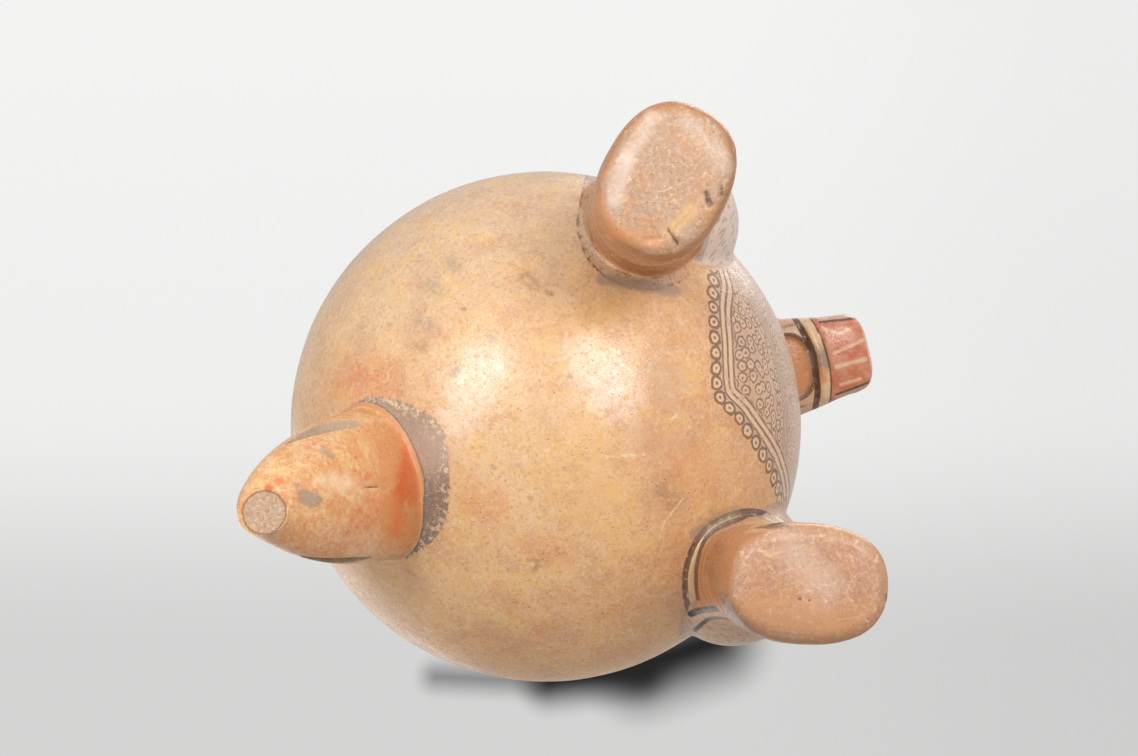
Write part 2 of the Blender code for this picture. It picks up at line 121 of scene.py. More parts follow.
def between(table: Sequence[tuple[float, float]], place: float) -> float:
    """The value at a place in a table, along a smooth curve through all its rows.

    Args:
        table: Rows of (place, value), in order of place.
        place: Where to read it.

    Returns:
        The value there.
    """
    last = len(table) - 1
    run = next((number for number in range(last) if place <= table[number + 1][0]), last - 1)
    (low, start), (high, end) = table[run], table[run + 1]
    span = high - low
    share = min(1.0, max(0.0, (place - low) / span))

    def slope(number: int) -> float:
        """The curve's slope at a row."""
        (before, first), (after, second) = table[max(0, number - 1)], table[min(last, number + 1)]
        return (second - first) / (after - before)

    rest = 1.0 - share
    return (
        start * rest**2 * (1.0 + 2.0 * share)
        + end * share**2 * (3.0 - 2.0 * share)
        + span * share * rest * (slope(run) * rest - slope(run + 1) * share)
    )


def row_at(table: Sequence[Sequence[float]], place: float) -> list[float]:
    """The values at a place in a table of several columns, whose rows start with their place."""
    return [between([(row[0], row[column]) for row in table], place) for column in range(1, len(table[0]))]


def smooth_step(values: np.ndarray, low: float, high: float) -> np.ndarray:
    """0 at low, 1 at high, with a soft start and end. Low may be above high."""
    share = np.clip((values - low) / (high - low), 0.0, 1.0)
    return share * share * (3.0 - 2.0 * share)


def add_object(name: str, data: bpy.types.ID) -> bpy.types.Object:
    """A new object in the scene that holds a mesh, a curve, a light or a camera."""
    made = bpy.data.objects.new(name, data)
    bpy.context.scene.collection.objects.link(made)
    return made


def finished(mesh: bpy.types.Mesh, finish: Finish) -> bpy.types.Mesh:
    """Gives every face of a mesh one finish."""
    mesh.polygons.foreach_set("material_index", [finish.value] * len(mesh.polygons))
    return mesh


def plain_mesh(source: bpy.types.Object, name: str) -> bpy.types.Mesh:
    """The mesh that an object's modifiers make. The object itself is removed."""
    evaluated = source.evaluated_get(bpy.context.evaluated_depsgraph_get())
    mesh = bpy.data.meshes.new_from_object(evaluated)
    mesh.name = name
    bpy.data.objects.remove(source, do_unlink=True)
    return mesh


def with_bmesh(name: str, build: Callable[[bmesh.types.BMesh], None]) -> bpy.types.Mesh:
    """A mesh made by a function on an empty bmesh, with its faces pointing out."""
    working = bmesh.new()
    build(working)
    bmesh.ops.recalc_face_normals(working, faces=working.faces)
    mesh = bpy.data.meshes.new(name)
    working.to_mesh(mesh)
    working.free()
    return mesh


def ring(
    centre: Vector, across: Vector, along: Vector, half_across: float, half_along: float, power: float = 2.0
) -> list[Vector]:
    """A superellipse of points about a centre.

    Args:
        centre: Its middle.
        across: The unit vector of its first axis.
        along: The unit vector of its second axis.
        half_across: Its half size along the first axis.
        half_along: Its half size along the second axis.
        power: 2 for an ellipse, more for a boxy ring, less for a pointed one.

    Returns:
        RING_STEPS points.
    """
    points = []
    for step in range(RING_STEPS):
        angle = 2.0 * math.pi * step / RING_STEPS
        cosine, sine = math.cos(angle), math.sin(angle)
        x = math.copysign(abs(cosine) ** (2.0 / power), cosine) * half_across
        y = math.copysign(abs(sine) ** (2.0 / power), sine) * half_along
        points.append(centre + across * x + along * y)
    return points


def loft(name: str, rings: Sequence[Sequence[Vector]]) -> bpy.types.Mesh:
    """A closed skin through unlike rings of points, capped at both ends."""

    def build(working: bmesh.types.BMesh) -> None:
        """Joins each ring to the next."""
        loops = [[working.verts.new(point) for point in points] for points in rings]
        for lower, upper in zip(loops, loops[1:]):
            for step in range(RING_STEPS):
                after = (step + 1) % RING_STEPS
                working.faces.new((lower[step], lower[after], upper[after], upper[step]))
        working.faces.new(list(reversed(loops[0])))
        working.faces.new(loops[-1])

    return with_bmesh(name, build)


def ellipsoid(
    name: str, centre: Vector, half: Sequence[float], azimuth: float = 0.0, lean: float = 0.0
) -> bpy.types.Mesh:
    """An ellipsoid with half sizes sideways, outwards and up, turned to an azimuth and leaned outwards."""
    place = (
        Matrix.Translation(centre)
        @ Matrix.Rotation(math.radians(azimuth), 4, "Z")
        @ Matrix.Rotation(math.radians(lean), 4, "X")
        @ Matrix.Diagonal((*half, 1.0))
    )
    return with_bmesh(
        name,
        lambda working: bmesh.ops.create_uvsphere(
            working, u_segments=RING_STEPS, v_segments=RING_STEPS // 2, radius=1.0, matrix=place
        ),
    )


def joined(name: str, meshes: Iterable[bpy.types.Mesh]) -> bpy.types.Mesh:
    """One mesh that holds the faces of several, with their finishes."""
    working = bmesh.new()
    for mesh in meshes:
        working.from_mesh(mesh)
    mesh = bpy.data.meshes.new(name)
    working.to_mesh(mesh)
    working.free()
    return mesh


def rows_of(source: bpy.types.bpy_prop_collection, name: str) -> np.ndarray:
    """One vector of each of a mesh's points, as rows of x, y and z."""
    flat = np.empty(len(source) * 3, np.float32)
    source.foreach_get(name, flat)
    return flat.reshape(-1, 3).astype(float)


def points_of(mesh: bpy.types.Mesh) -> np.ndarray:
    """A mesh's points as rows of x, y and z."""
    return rows_of(mesh.vertices, "co")


def set_points(mesh: bpy.types.Mesh, points: np.ndarray) -> None:
    """Moves a mesh's points."""
    mesh.vertices.foreach_set("co", points.astype(np.float32).ravel())
    mesh.update()


# ---------------- node graphs
def sum_of(operation: str, turned: bool = False) -> Callable[["Signal", "Wire"], "Signal"]:
    """A method that works out one sum of two numbers, with the other number first where it is turned."""

    def method(signal: "Signal", other: "Wire") -> "Signal":
        """Adds the sum's Math node."""
        return signal.graph.math(operation, *((other, signal) if turned else (signal, other)))

    return method


class Signal:
    """A number, vector or colour on a wire of a node graph, with arithmetic that adds Math nodes."""

    def __init__(self, graph: "Graph", socket: bpy.types.NodeSocket) -> None:
        """Keeps the wire's socket."""
        self.graph = graph
        self.socket = socket

    __add__, __radd__ = sum_of("ADD"), sum_of("ADD", True)
    __sub__, __rsub__ = sum_of("SUBTRACT"), sum_of("SUBTRACT", True)
    __mul__, __rmul__ = sum_of("MULTIPLY"), sum_of("MULTIPLY", True)
    __truediv__ = sum_of("DIVIDE")

    def __neg__(self) -> "Signal":
        """The number with its sign turned."""
        return self.graph.math("MULTIPLY", self, -1.0)


Wire = Signal | float | int | tuple | bpy.types.ID | bpy.types.Node


@dataclass
class Graph:
    """A shader or geometry node tree under construction."""

    tree: bpy.types.NodeTree

    def node(self, kind: str, inputs: dict | None = None, **settings: object) -> bpy.types.Node:
        """Adds a node.

        Args:
            kind: Blender's name of the node.
            inputs: What goes into its sockets, by name or number.
            settings: Its own settings.

        Returns:
            The node.
        """
        made = self.tree.nodes.new(kind)
        for name, value in settings.items():
            setattr(made, name, value)
        for name, value in (inputs or {}).items():
            self.feed(made.inputs[name], value)
        return made

    def feed(self, socket: bpy.types.NodeSocket, value: Wire) -> None:
        """Links a wire or a node's first output to a socket, or sets the socket's own value."""
        if isinstance(value, bpy.types.Node):
            value = self.out(value)
        if isinstance(value, Signal):
            self.tree.links.new(value.socket, socket)
        else:
            socket.default_value = value

    def out(self, node: bpy.types.Node, output: str | int = 0) -> Signal:
        """The wire from a node's output."""
        return Signal(self, node.outputs[output])

    def math(self, operation: str, *values: Wire, clamp: bool = False) -> Signal:
        """A Math node."""
        made = self.node("ShaderNodeMath", dict(enumerate(values)), operation=operation, use_clamp=clamp)
        return self.out(made)

    def vector(self, operation: str, first: Wire, second: Wire) -> Signal:
        """A Vector Math node."""
        return self.out(self.node("ShaderNodeVectorMath", {0: first, 1: second}, operation=operation))

    def scaled(self, vector: Wire, scale: Wire) -> Signal:
        """A vector times a number."""
        made = self.node("ShaderNodeVectorMath", {0: vector}, operation="SCALE")
        self.feed(made.inputs["Scale"], scale)
        return self.out(made)

    def dot(self, first: Wire, second: Wire) -> Signal:
        """The dot product of two vectors."""
        return self.out(self.node("ShaderNodeVectorMath", {0: first, 1: second}, operation="DOT_PRODUCT"),
                        "Value")

    def length(self, vector: Wire) -> Signal:
        """A vector's length."""
        return self.out(self.node("ShaderNodeVectorMath", {0: vector}, operation="LENGTH"), "Value")

    def attribute(self, name: str) -> Signal:
        """A field that is kept on a mesh's points."""
        return self.out(self.node("ShaderNodeAttribute", attribute_name=name), "Vector")

    def split(self, vector: Signal) -> tuple[Signal, Signal, Signal]:
        """A vector's three numbers."""
        made = self.node("ShaderNodeSeparateXYZ", {0: vector})
        return self.out(made, 0), self.out(made, 1), self.out(made, 2)

    def join(self, x: Wire, y: Wire, z: Wire) -> Signal:
        """A vector from three numbers."""
        return self.out(self.node("ShaderNodeCombineXYZ", {0: x, 1: y, 2: z}))

    def smooth(self, value: Wire, low: Wire, high: Wire) -> Signal:
        """0 at low, 1 at high, with a soft start and end."""
        made = self.node("ShaderNodeMapRange", {0: value, 1: low, 2: high}, interpolation_type="SMOOTHSTEP")
        return self.out(made)

    def mix(self, share: Wire, first: Wire, second: Wire) -> Signal:
        """A number between two numbers."""
        made = self.node("ShaderNodeMix", {0: share, 2: first, 3: second}, data_type="FLOAT")
        return self.out(made, 0)

    def blend(self, share: Wire, first: Wire, second: Wire) -> Signal:
        """A colour between two colours."""
        made = self.node("ShaderNodeMix", {0: share, 6: first, 7: second}, data_type="RGBA")
        return self.out(made, 2)

    def noise(self, vector: Wire, scale: float, detail: float = 2.0, rough: float = 0.5) -> Signal:
        """Soft noise from 0 to 1 about 0.5."""
        inputs = {"Vector": vector, "Scale": scale, "Detail": detail, "Roughness": rough}
        return self.out(self.node("ShaderNodeTexNoise", inputs))

    def cells(self, vector: Wire, scale: float, feature: str = "F1", dimensions: str = "3D",
              chance: float = 1.0) -> Signal:
        """The distance to the nearest point, or edge, of a field of random cells."""
        inputs = {"Vector": vector, "Scale": scale, "Randomness": chance}
        made = self.node("ShaderNodeTexVoronoi", inputs, feature=feature, voronoi_dimensions=dimensions)
        return self.out(made)

    def use(self, group: "Group", **inputs: Wire) -> dict[str, Signal]:
        """Places a node group.

        Args:
            group: The group.
            inputs: What goes into its inputs, with _ for a space.

        Returns:
            Its outputs by name.
        """
        kind = self.tree.bl_idname.replace("Tree", "Group")
        made = self.node(kind, {name.replace("_", " "): value for name, value in inputs.items()},
                         node_tree=group.graph.tree)
        return {output.name: Signal(self, output) for output in made.outputs}


SOCKETS = {"value": "NodeSocketFloat", "count": "NodeSocketInt", "vector": "NodeSocketVector",
           "shape": "NodeSocketGeometry", "material": "NodeSocketMaterial"}
SORTS = {float: "value", int: "count", tuple: "vector"}


class Group:
    """A node group with named inputs and outputs."""

    def __init__(
        self, name: str, inputs: dict[str, object], outputs: dict[str, str], kind: str = "ShaderNodeTree"
    ) -> None:
        """Makes the empty group.

        Args:
            name: Its name.
            inputs: Each input's default, or the sort of socket that has none, by name.
            outputs: Each output's sort by name.
            kind: Blender's name of the kind of tree.
        """
        tree = bpy.data.node_groups.new(name, kind)
        for label, default in inputs.items():
            sort = SORTS.get(type(default), default)
            socket = tree.interface.new_socket(name=label, in_out="INPUT", socket_type=SOCKETS[sort])
            if sort != default:
                socket.default_value = default
        for label, sort in outputs.items():
            tree.interface.new_socket(name=label, in_out="OUTPUT", socket_type=SOCKETS[sort])
        self.graph = Graph(tree)
        self.given = {output.name: Signal(self.graph, output)
                      for output in tree.nodes.new("NodeGroupInput").outputs if output.name}
        self.result = tree.nodes.new("NodeGroupOutput")

    def give(self, **outputs: Wire) -> "Group":
        """Links the group's outputs and returns the group."""
        for name, value in outputs.items():
            self.graph.feed(self.result.inputs[name.replace("_", " ")], value)
        return self


def grown(
    name: str, tree: Group, inputs: dict[str, object], source: bpy.types.ID | None = None
) -> bpy.types.Mesh:
    """The plain mesh that a geometry node tree makes.

    Args:
        name: The mesh's name.
        tree: The tree.
        inputs: Its inputs by name.
        source: The mesh or curve that the tree starts from, if it needs one.

    Returns:
        The mesh, with nothing left of the modifier.
    """
    held = add_object(name, source or bpy.data.meshes.new(name))
    modifier = held.modifiers.new(name, "NODES")
    modifier.node_group = tree.graph.tree
    sockets = {item.name: item.identifier for item in tree.graph.tree.interface.items_tree
               if item.in_out == "INPUT"}
    for label, value in inputs.items():
        modifier[sockets[label]] = value
    held.update_tag()
    return plain_mesh(held, name)


def wall_tree() -> Group:
    """The geometry node tree of a wall turned about the jar's axis, closed at its top and bottom."""
    sizes = ("Belly Radius", "Belly Height", "Bowl Depth", "Neck Radius", "Neck Height", "Rim Radius",
             "Height", "Top", "Inset", "Floor Inset")
    group = Group(
        "turned_wall",
        {"Geometry": "shape", **{size: 0.1 for size in sizes}, "Segments": 64,
         "Rings": 64, "Material": "material"},
        {"Geometry": "shape"},
        "GeometryNodeTree",
    )
    graph, given = group.graph, group.given
    belly, belly_height, depth, neck, neck_height, rim, height, top, inset, floor = (given[s] for s in sizes)
    grid = graph.node("GeometryNodeMeshGrid", {"Size X": 1.0, "Size Y": 1.0, "Vertices X": given["Segments"],
                                               "Vertices Y": given["Rings"]})
    x, y, _ = graph.split(graph.out(graph.node("GeometryNodeInputPosition")))
    turn, run = x * (2.0 * math.pi), y + 0.5
    cap_end, neck_end, shoulder_end = 0.04, 0.32, 0.56

    def part(low: float, high: float) -> Signal:
        """How far the run has come between two of its places, from 0 to 1."""
        return graph.math("DIVIDE", run - low, high - low, clamp=True)

    def switch(place: float, before: Signal, after: Signal) -> Signal:
        """One number before a place of the run and another after it."""
        return graph.mix(graph.math("GREATER_THAN", run, place), before, after)

    neck_z = top + (neck_height - top) * part(cap_end, neck_end)
    lifted = graph.math("DIVIDE", neck_z - neck_height, height - neck_height, clamp=True)
    neck_r = neck + (rim - neck) * graph.math("POWER", lifted, 1.8) - inset
    shoulder_share = part(neck_end, shoulder_end)
    shoulder_z = neck_height + (belly_height - neck_height) * shoulder_share
    swell = 0.5 + 0.5 * graph.math("COSINE", (1.0 - shoulder_share) * math.pi)
    shoulder_r = neck + (belly - neck) * swell - inset
    angle = part(shoulder_end, 1.0) * (0.5 * math.pi)
    bowl_r = (belly - inset) * graph.math("COSINE", angle)
    bowl_z = belly_height - (depth - floor) * graph.math("SINE", angle)
    radius = switch(shoulder_end, switch(neck_end, neck_r * part(0.0, cap_end), shoulder_r), bowl_r)
    level = switch(shoulder_end, switch(neck_end, neck_z, shoulder_z), bowl_z)
    place = graph.join(radius * graph.math("SINE", turn), -(radius * graph.math("COSINE", turn)), level)
    moved = graph.node("GeometryNodeSetPosition", {"Geometry": grid, "Position": place})
    merged = graph.node("GeometryNodeMergeByDistance", {"Geometry": moved, "Distance": WELD})
    outwards = graph.node("GeometryNodeFlipFaces", {"Mesh": merged})
    return finish_tree(group, outwards)


def finish_tree(group: Group, shape: Wire) -> Group:
    """Ends a geometry node tree: smooth shading, real copies and the material."""
    graph = group.graph
    smooth = graph.node("GeometryNodeSetShadeSmooth", {"Geometry": shape})
    real = graph.node("GeometryNodeRealizeInstances", {"Geometry": smooth})
    dressed = graph.node("GeometryNodeSetMaterial", {"Geometry": real,
                                                     "Material": group.given["Material"]})
    return group.give(Geometry=dressed)


def roll_tree() -> Group:
    """The geometry node tree of a roll of clay along a path, as thick as the path's own radius says."""
    group = Group(
        "clay_roll",
        {"Geometry": "shape", "Half Width": 1.0, "Half Height": 1.0,
         "Segments": 24, "Spacing": 0.001, "Material": "material"},
        {"Geometry": "shape"},
        "GeometryNodeTree",
    )
    graph, given = group.graph, group.given
    path = graph.node("GeometryNodeResampleCurve", {"Curve": given["Geometry"], "Length": given["Spacing"]},
                      mode="LENGTH")
    circle = graph.node("GeometryNodeCurvePrimitiveCircle", {"Resolution": given["Segments"], "Radius": 1.0})
    size = graph.join(given["Half Width"], given["Half Height"], 1.0)
    profile = graph.node("GeometryNodeTransform", {"Geometry": circle, "Scale": size})
    girth = graph.out(graph.node("GeometryNodeInputRadius"))
    swept = graph.node("GeometryNodeCurveToMesh", {"Curve": path, "Profile Curve": profile,
                                                   "Scale": girth, "Fill Caps": True})
    merged = graph.node("GeometryNodeMergeByDistance", {"Geometry": swept, "Distance": WELD})
    return finish_tree(group, merged)


def row_tree() -> Group:
    """The geometry node tree of a row of blunt points, such as teeth or claws, along a path."""
    group = Group(
        "row_of_points",
        {"Geometry": "shape", "Count": 6, "Radius": 0.001, "Length": 0.003,
         "Bluntness": 0.4, "Way": (0.0, 0.0, 1.0), "Uneven": 0.1,
         "Seed": 1, "Material": "material"},
        {"Geometry": "shape"},
        "GeometryNodeTree",
    )
    graph, given = group.graph, group.given
    places = graph.node("GeometryNodeCurveToPoints", {"Curve": given["Geometry"], "Count": given["Count"]})
    point = graph.node("GeometryNodeMeshCone", {
        "Vertices": 12, "Side Segments": 3, "Fill Segments": 2,
        "Radius Top": given["Radius"] * given["Bluntness"],
        "Radius Bottom": given["Radius"], "Depth": given["Length"]})
    turn = graph.node("FunctionNodeAlignRotationToVector", {"Vector": given["Way"]}, axis="Z")
    chance = graph.node("FunctionNodeRandomValue", {"Seed": given["Seed"]}, data_type="FLOAT")
    for name, value in (("Min", 1.0 - given["Uneven"]), ("Max", 1.0 + given["Uneven"])):
        graph.feed(next(socket for socket in chance.inputs
                        if socket.name == name and socket.type == "VALUE"), value)
    drawn = Signal(graph, next_output(chance, "VALUE"))
    rows = graph.node("GeometryNodeInstanceOnPoints", {"Points": places, "Instance": point,
                                                       "Rotation": turn})
    graph.feed(rows.inputs["Scale"], graph.join(drawn, drawn, drawn))
    return finish_tree(group, rows)


def next_output(node: bpy.types.Node, kind: str) -> bpy.types.NodeSocket:
    """A node's first output of a kind that is in use."""
    return next(output for output in node.outputs if output.type == kind and output.enabled)


def path_curve(name: str, points: Sequence[Vector], radii: Sequence[float],
               closed: bool = False) -> bpy.types.Curve:
    """A smooth curve through points, with a radius at each."""
    curve = bpy.data.curves.new(name, "CURVE")
    curve.dimensions = "3D"
    route = curve.splines.new("BEZIER")
    route.resolution_u = 16
    route.use_cyclic_u = closed
    route.bezier_points.add(len(points) - 1)
    for point, place, radius in zip(route.bezier_points, points, radii):
        point.co = place
        point.handle_left_type = point.handle_right_type = "AUTO"
        point.radius = radius
    return curve


# ---------------- the jar's wall
@dataclass
class Jar:
    """The turned wall of the jar."""

    height: float
    belly_radius: float = 0.1175
    belly_height: float = 0.15
    bowl_depth: float = 0.105
    neck_radius: float = 0.077
    neck_height: float = 0.262
    rim_radius: float = 0.09
    wall: float = 0.0065
    floor_wall: float = 0.0085
    lip_band: float = 0.0016
    lip_height: float = 0.013
    mouth_clearance: float = 0.004  # how far the hollow stands out of the neck
    skin_grid: tuple[int, int] = (288, 260)  # points round the wall and down it
    hollow_grid: tuple[int, int] = (96, 80)
    tree: Group = field(default_factory=wall_tree)

    def shoulder_radius(self, height: float) -> float:
        """The outer radius from the belly's widest ring up to the neck."""
        share = (height - self.belly_height) / (self.neck_height - self.belly_height)
        swell = 0.5 * (1.0 + math.cos(math.pi * share))
        return self.neck_radius + (self.belly_radius - self.neck_radius) * swell

    def flare_radius(self, height: float) -> float:
        """The outer radius of the neck."""
        share = (height - self.neck_height) / (self.height - self.neck_height)
        return self.neck_radius + (self.rim_radius - self.neck_radius) * share**1.8

    def turned(
        self, name: str, top: float, inset: float, floor: float, grid: tuple[int, int]
    ) -> bpy.types.Mesh:
        """A closed solid inside the outer skin, from the geometry node tree.

        Args:
            name: The mesh's name.
            top: The height of its flat top.
            inset: How far its side lies inside the skin.
            floor: How far its bottom lies above the skin's.
            grid: The number of points round it and down its side.

        Returns:
            The mesh.
        """
        return grown(name, self.tree, {
            "Belly Radius": self.belly_radius, "Belly Height": self.belly_height,
            "Bowl Depth": self.bowl_depth,
            "Neck Radius": self.neck_radius, "Neck Height": self.neck_height, "Rim Radius": self.rim_radius,
            "Height": self.height, "Top": top, "Inset": inset, "Floor Inset": floor,
            "Segments": grid[0] + 1, "Rings": grid[1]})

    def skin(self) -> bpy.types.Mesh:
        """The whole jar as one filled solid, before it is hollowed."""
        return self.turned("jar_skin", self.height - 0.4 * self.lip_height, 0.0, 0.0, self.skin_grid)

    def hollow(self) -> bpy.types.Mesh:
        """The space inside the jar, open through the neck."""
        return self.turned("jar_hollow", self.height + self.mouth_clearance, self.wall, self.floor_wall,
                           self.hollow_grid)

    def lip(self, rolls: Group) -> bpy.types.Mesh:
        """The rounded roll that ends the neck."""
        middle = self.height - 0.5 * self.lip_height
        radius = self.flare_radius(middle) - 0.5 * self.wall
        path = path_curve("lip", [around(azimuth, radius, middle) for azimuth in range(0, 360, 30)],
                          [1.0] * 12, True)
        half = 0.5 * self.wall + self.lip_band
        return grown("lip", rolls, {"Half Width": half, "Half Height": 0.5 * self.lip_height, "Segments": 20,
                                    "Spacing": 0.004}, path)

    def profile(self) -> np.ndarray:
        """The outer skin's profile from the bottom's centre up, as rows of radius and height."""
        bowl = [(self.belly_radius * math.cos(angle), self.belly_height - self.bowl_depth * math.sin(angle))
                for angle in spread(0.5 * math.pi, 0.0, 160)]
        shoulder = [(self.shoulder_radius(z), z) for z in spread(self.belly_height, self.neck_height, 90)]
        neck = [(self.flare_radius(z), z) for z in spread(self.neck_height, self.height, 50)]
        return np.array(bowl + shoulder[1:] + neck[1:])

    def unrolled(self, points: np.ndarray) -> tuple[np.ndarray, np.ndarray]:
        """How far up the skin points lie from the bottom's centre, and how far outside it."""
        flat = np.stack((np.hypot(points[:, 0], points[:, 1]), points[:, 2]), 1)
        climb, inside = from_route(flat, self.profile())
        return climb, -inside


# ---------------- feet
@dataclass
class Foot:
    """A front foot with its haunch: a flat-soled shaft that grows out of the belly."""

    side: Side
    sole: tuple[float, float]  # azimuth and radius of the sole's middle
    root: tuple[float, float]
    half: tuple[float, float]  # the sole's half width and half length
    toes: float  # the azimuth that the toes point along
    haunch_azimuth: float
    sole_round: float = 0.0085
    sole_power: float = 2.4
    ground_cut: float = 0.0008
    shaft_top: float = 0.1
    widths: tuple = ((0.09, 1.0), (0.16, 1.0), (0.34, 0.94), (0.52, 0.91), (0.75, 0.94), (1.0, 1.01),
                     (1.2, 0.94))
    lengths: tuple = ((0.09, 1.0), (0.16, 1.0), (0.34, 0.88), (0.52, 0.8), (0.75, 0.77), (1.0, 0.8),
                      (1.2, 0.73))
    shaft_power: float = 2.15
    haunch_radius: float = 0.106
    haunch_height: float = 0.127
    haunch_half: tuple = (0.035, 0.035, 0.044)
    chamber: tuple = ((0.014, 0.009), (0.022, 0.0158), (0.05, 0.0162), (0.085, 0.0175), (0.11, 0.0235),
                      (0.13, 0.027), (0.148, 0.0215), (0.158, 0.009))
    slit_height: float = 0.052
    slit_half: tuple = (0.017, 0.0036)

    @property
    def axes(self) -> tuple[Vector, Vector]:
        """The unit vectors across the sole and along it."""
        along = around(self.toes, 1.0, 0.0)
        return Vector((along.y, -along.x, 0.0)), along

    def shaft(self) -> bpy.types.Mesh:
        """The oval sole and the shaft above it."""
        sole, root = around(*self.sole, 0.0), around(*self.root, self.shaft_top)
        across, along = self.axes
        half_width, half_length = self.half
        rings = []
        for angle in spread(0.0, 0.5 * math.pi, 7):
            height = self.sole_round * (1.0 - math.cos(angle)) - self.ground_cut
            drawn_in = self.sole_round * (1.0 - math.sin(angle))
            rings.append(ring(sole + UPWARDS * height, across, along, half_width - drawn_in,
                              half_length - drawn_in, self.sole_power))
        for share in spread(0.12, 1.2, 30):
            rings.append(ring(sole.lerp(root, share), across, along, half_width * between(self.widths, share),
                              half_length * between(self.lengths, share), self.shaft_power))
        return loft(f"{self.side.name.lower()}_shaft", rings)

    def haunch(self) -> bpy.types.Mesh:
        """The rounded thigh that swells out of the belly."""
        centre = around(self.haunch_azimuth, self.haunch_radius, self.haunch_height)
        return ellipsoid("haunch", centre, self.haunch_half, self.haunch_azimuth)

    def middle(self, height: float) -> Vector:
        """The middle of the foot and its haunch at a height."""
        line = (around(*self.sole, 0.0), around(*self.root, self.shaft_top),
                around(self.haunch_azimuth, self.haunch_radius, self.haunch_height))
        return Vector((*row_at([(point.z, point.x, point.y) for point in line], height), height))

    def hollow(self) -> bpy.types.Mesh:
        """The rattle chamber inside the foot and its haunch."""
        rings = []
        for height in spread(self.chamber[0][0], self.chamber[-1][0], 16):
            radius = between(self.chamber, height)
            rings.append(ring(self.middle(height), SIDEWAYS, BACKWARDS, radius, radius))
        return loft("foot_chamber", rings)

    def slit(self) -> bpy.types.Mesh:
        """The upright slit on the foot's outer side."""
        middle = self.middle(self.slit_height)
        out = Vector((middle.x, middle.y, 0.0)).normalized()
        across = Vector((-out.y, out.x, 0.0))
        return loft("foot_slit", [ring(middle + out * reach, UPWARDS, across, *self.slit_half, SLIT_POWER)
                                  for reach in SLIT_REACH])

    def on_sole(self, points: np.ndarray) -> tuple[np.ndarray, np.ndarray, np.ndarray]:
        """Where points lie over the sole: across it, along it, and as a share of its outline."""
        centre = np.array(around(*self.sole, 0.0))
        across, along = (np.array(axis) for axis in self.axes)
        x, y = (points - centre) @ across, (points - centre) @ along
        share = (np.abs(x / self.half[0]) ** self.sole_power + np.abs(y / self.half[1]) ** self.sole_power)
        return x, y, share ** (1.0 / self.sole_power)


@dataclass
class Collar:
    """The roll of clay pressed round the root of the right foot."""

    root: tuple[float, float]
    radius: float = 0.0268
    thickness: float = 0.0032

    def roll(self, jar: Jar, rolls: Group) -> bpy.types.Mesh:
        """The roll, tilted to lie on the bowl."""
        azimuth, out = self.root
        angle = math.acos(out / jar.belly_radius)
        height = jar.belly_height - jar.bowl_depth * math.sin(angle)
        slope = math.atan2(jar.bowl_depth * math.cos(angle), jar.belly_radius * math.sin(angle))
        tilt = (Matrix.Translation(around(azimuth, out, height))
                @ Matrix.Rotation(math.radians(azimuth), 4, "Z") @ Matrix.Rotation(slope, 4, "X"))
        points = [tilt @ around(turn, self.radius, 0.0) for turn in range(0, 360, 30)]
        path = path_curve("collar", points, [self.thickness] * len(points), True)
        return grown("collar", rolls, {"Segments": 16, "Spacing": 0.002}, path)


@dataclass
class TailFoot:
    """The bullet-shaped hollow tail that makes the third foot."""

    # level sections: height, azimuth and radius of the middle, half sizes outwards and sideways
    sections: tuple = (
        (0.0, 179.2, 0.1163, 0.0102, 0.0094), (0.004, 179.7, 0.1144, 0.013, 0.0125),
        (0.012, 179.8, 0.1086, 0.017, 0.0184), (0.024, 179.2, 0.1014, 0.0206, 0.0246),
        (0.042, 178.4, 0.0912, 0.0243, 0.0302), (0.062, 177.5, 0.081, 0.0262, 0.0328),
        (0.08, 176.8, 0.0745, 0.026, 0.033), (0.094, 176.4, 0.07, 0.023, 0.03))
    wall: float = 0.0062
    chamber: tuple[float, float] = (0.014, 0.066)
    slit_half_width: float = 0.0033
    # each slit's side, and the radius and height of its lower and upper end
    slit_ends: tuple = ((Side.RIGHT, (0.1031, 0.0215), (0.0727, 0.0495)),
                        (Side.LEFT, (0.109, 0.0215), (0.083, 0.047)))

    def section(self, height: float) -> tuple[Vector, float, float]:
        """The level section at a height: its centre, and its half sizes outwards and sideways."""
        azimuth, radius, outwards, sideways = row_at(self.sections, height)
        return around(azimuth, radius, height), outwards, sideways

    def skin(self) -> bpy.types.Mesh:
        """The tail's outer skin, from just under the ground up into the bowl."""
        rings = []
        for share in spread(0.0, 1.0, 44):
            centre, outwards, sideways = self.section(self.sections[-1][0] * share**1.5)
            rings.append(ring(centre, SIDEWAYS, BACKWARDS, sideways, outwards))
        below = [point - UPWARDS * 0.0025 for point in rings[0]]
        return loft("tail_foot", [below] + rings)

    def hollow(self) -> bpy.types.Mesh:
        """The rattle chamber, rounded at its bottom and top."""
        low, high = self.chamber
        rings = []
        for height in spread(low, high, 17):
            across = 2.0 * (height - low) / (high - low) - 1.0
            rounding = math.sqrt(max(0.05, 1.0 - across**4))
            centre, outwards, sideways = self.section(height)
            wall = 1.25 * self.wall
            rings.append(ring(centre, SIDEWAYS, BACKWARDS, rounding * (sideways - wall),
                              rounding * (outwards - wall)))
        return loft("rattle_chamber", rings)

    def slits(self) -> list[bpy.types.Mesh]:
        """The long lens-shaped slit through each side."""
        made = []
        for side, lower, upper in self.slit_ends:
            start, end = (around(180.0, radius, height) for radius, height in (lower, upper))
            middle, along = start.lerp(end, 0.5), (end - start).normalized()
            half = (0.5 * (end - start).length, self.slit_half_width)
            made.append(loft("tail_slit", [
                ring(middle + SIDEWAYS * side.value * reach, along, SIDEWAYS.cross(along), *half, SLIT_POWER)
                for reach in SLIT_REACH]))
        return made


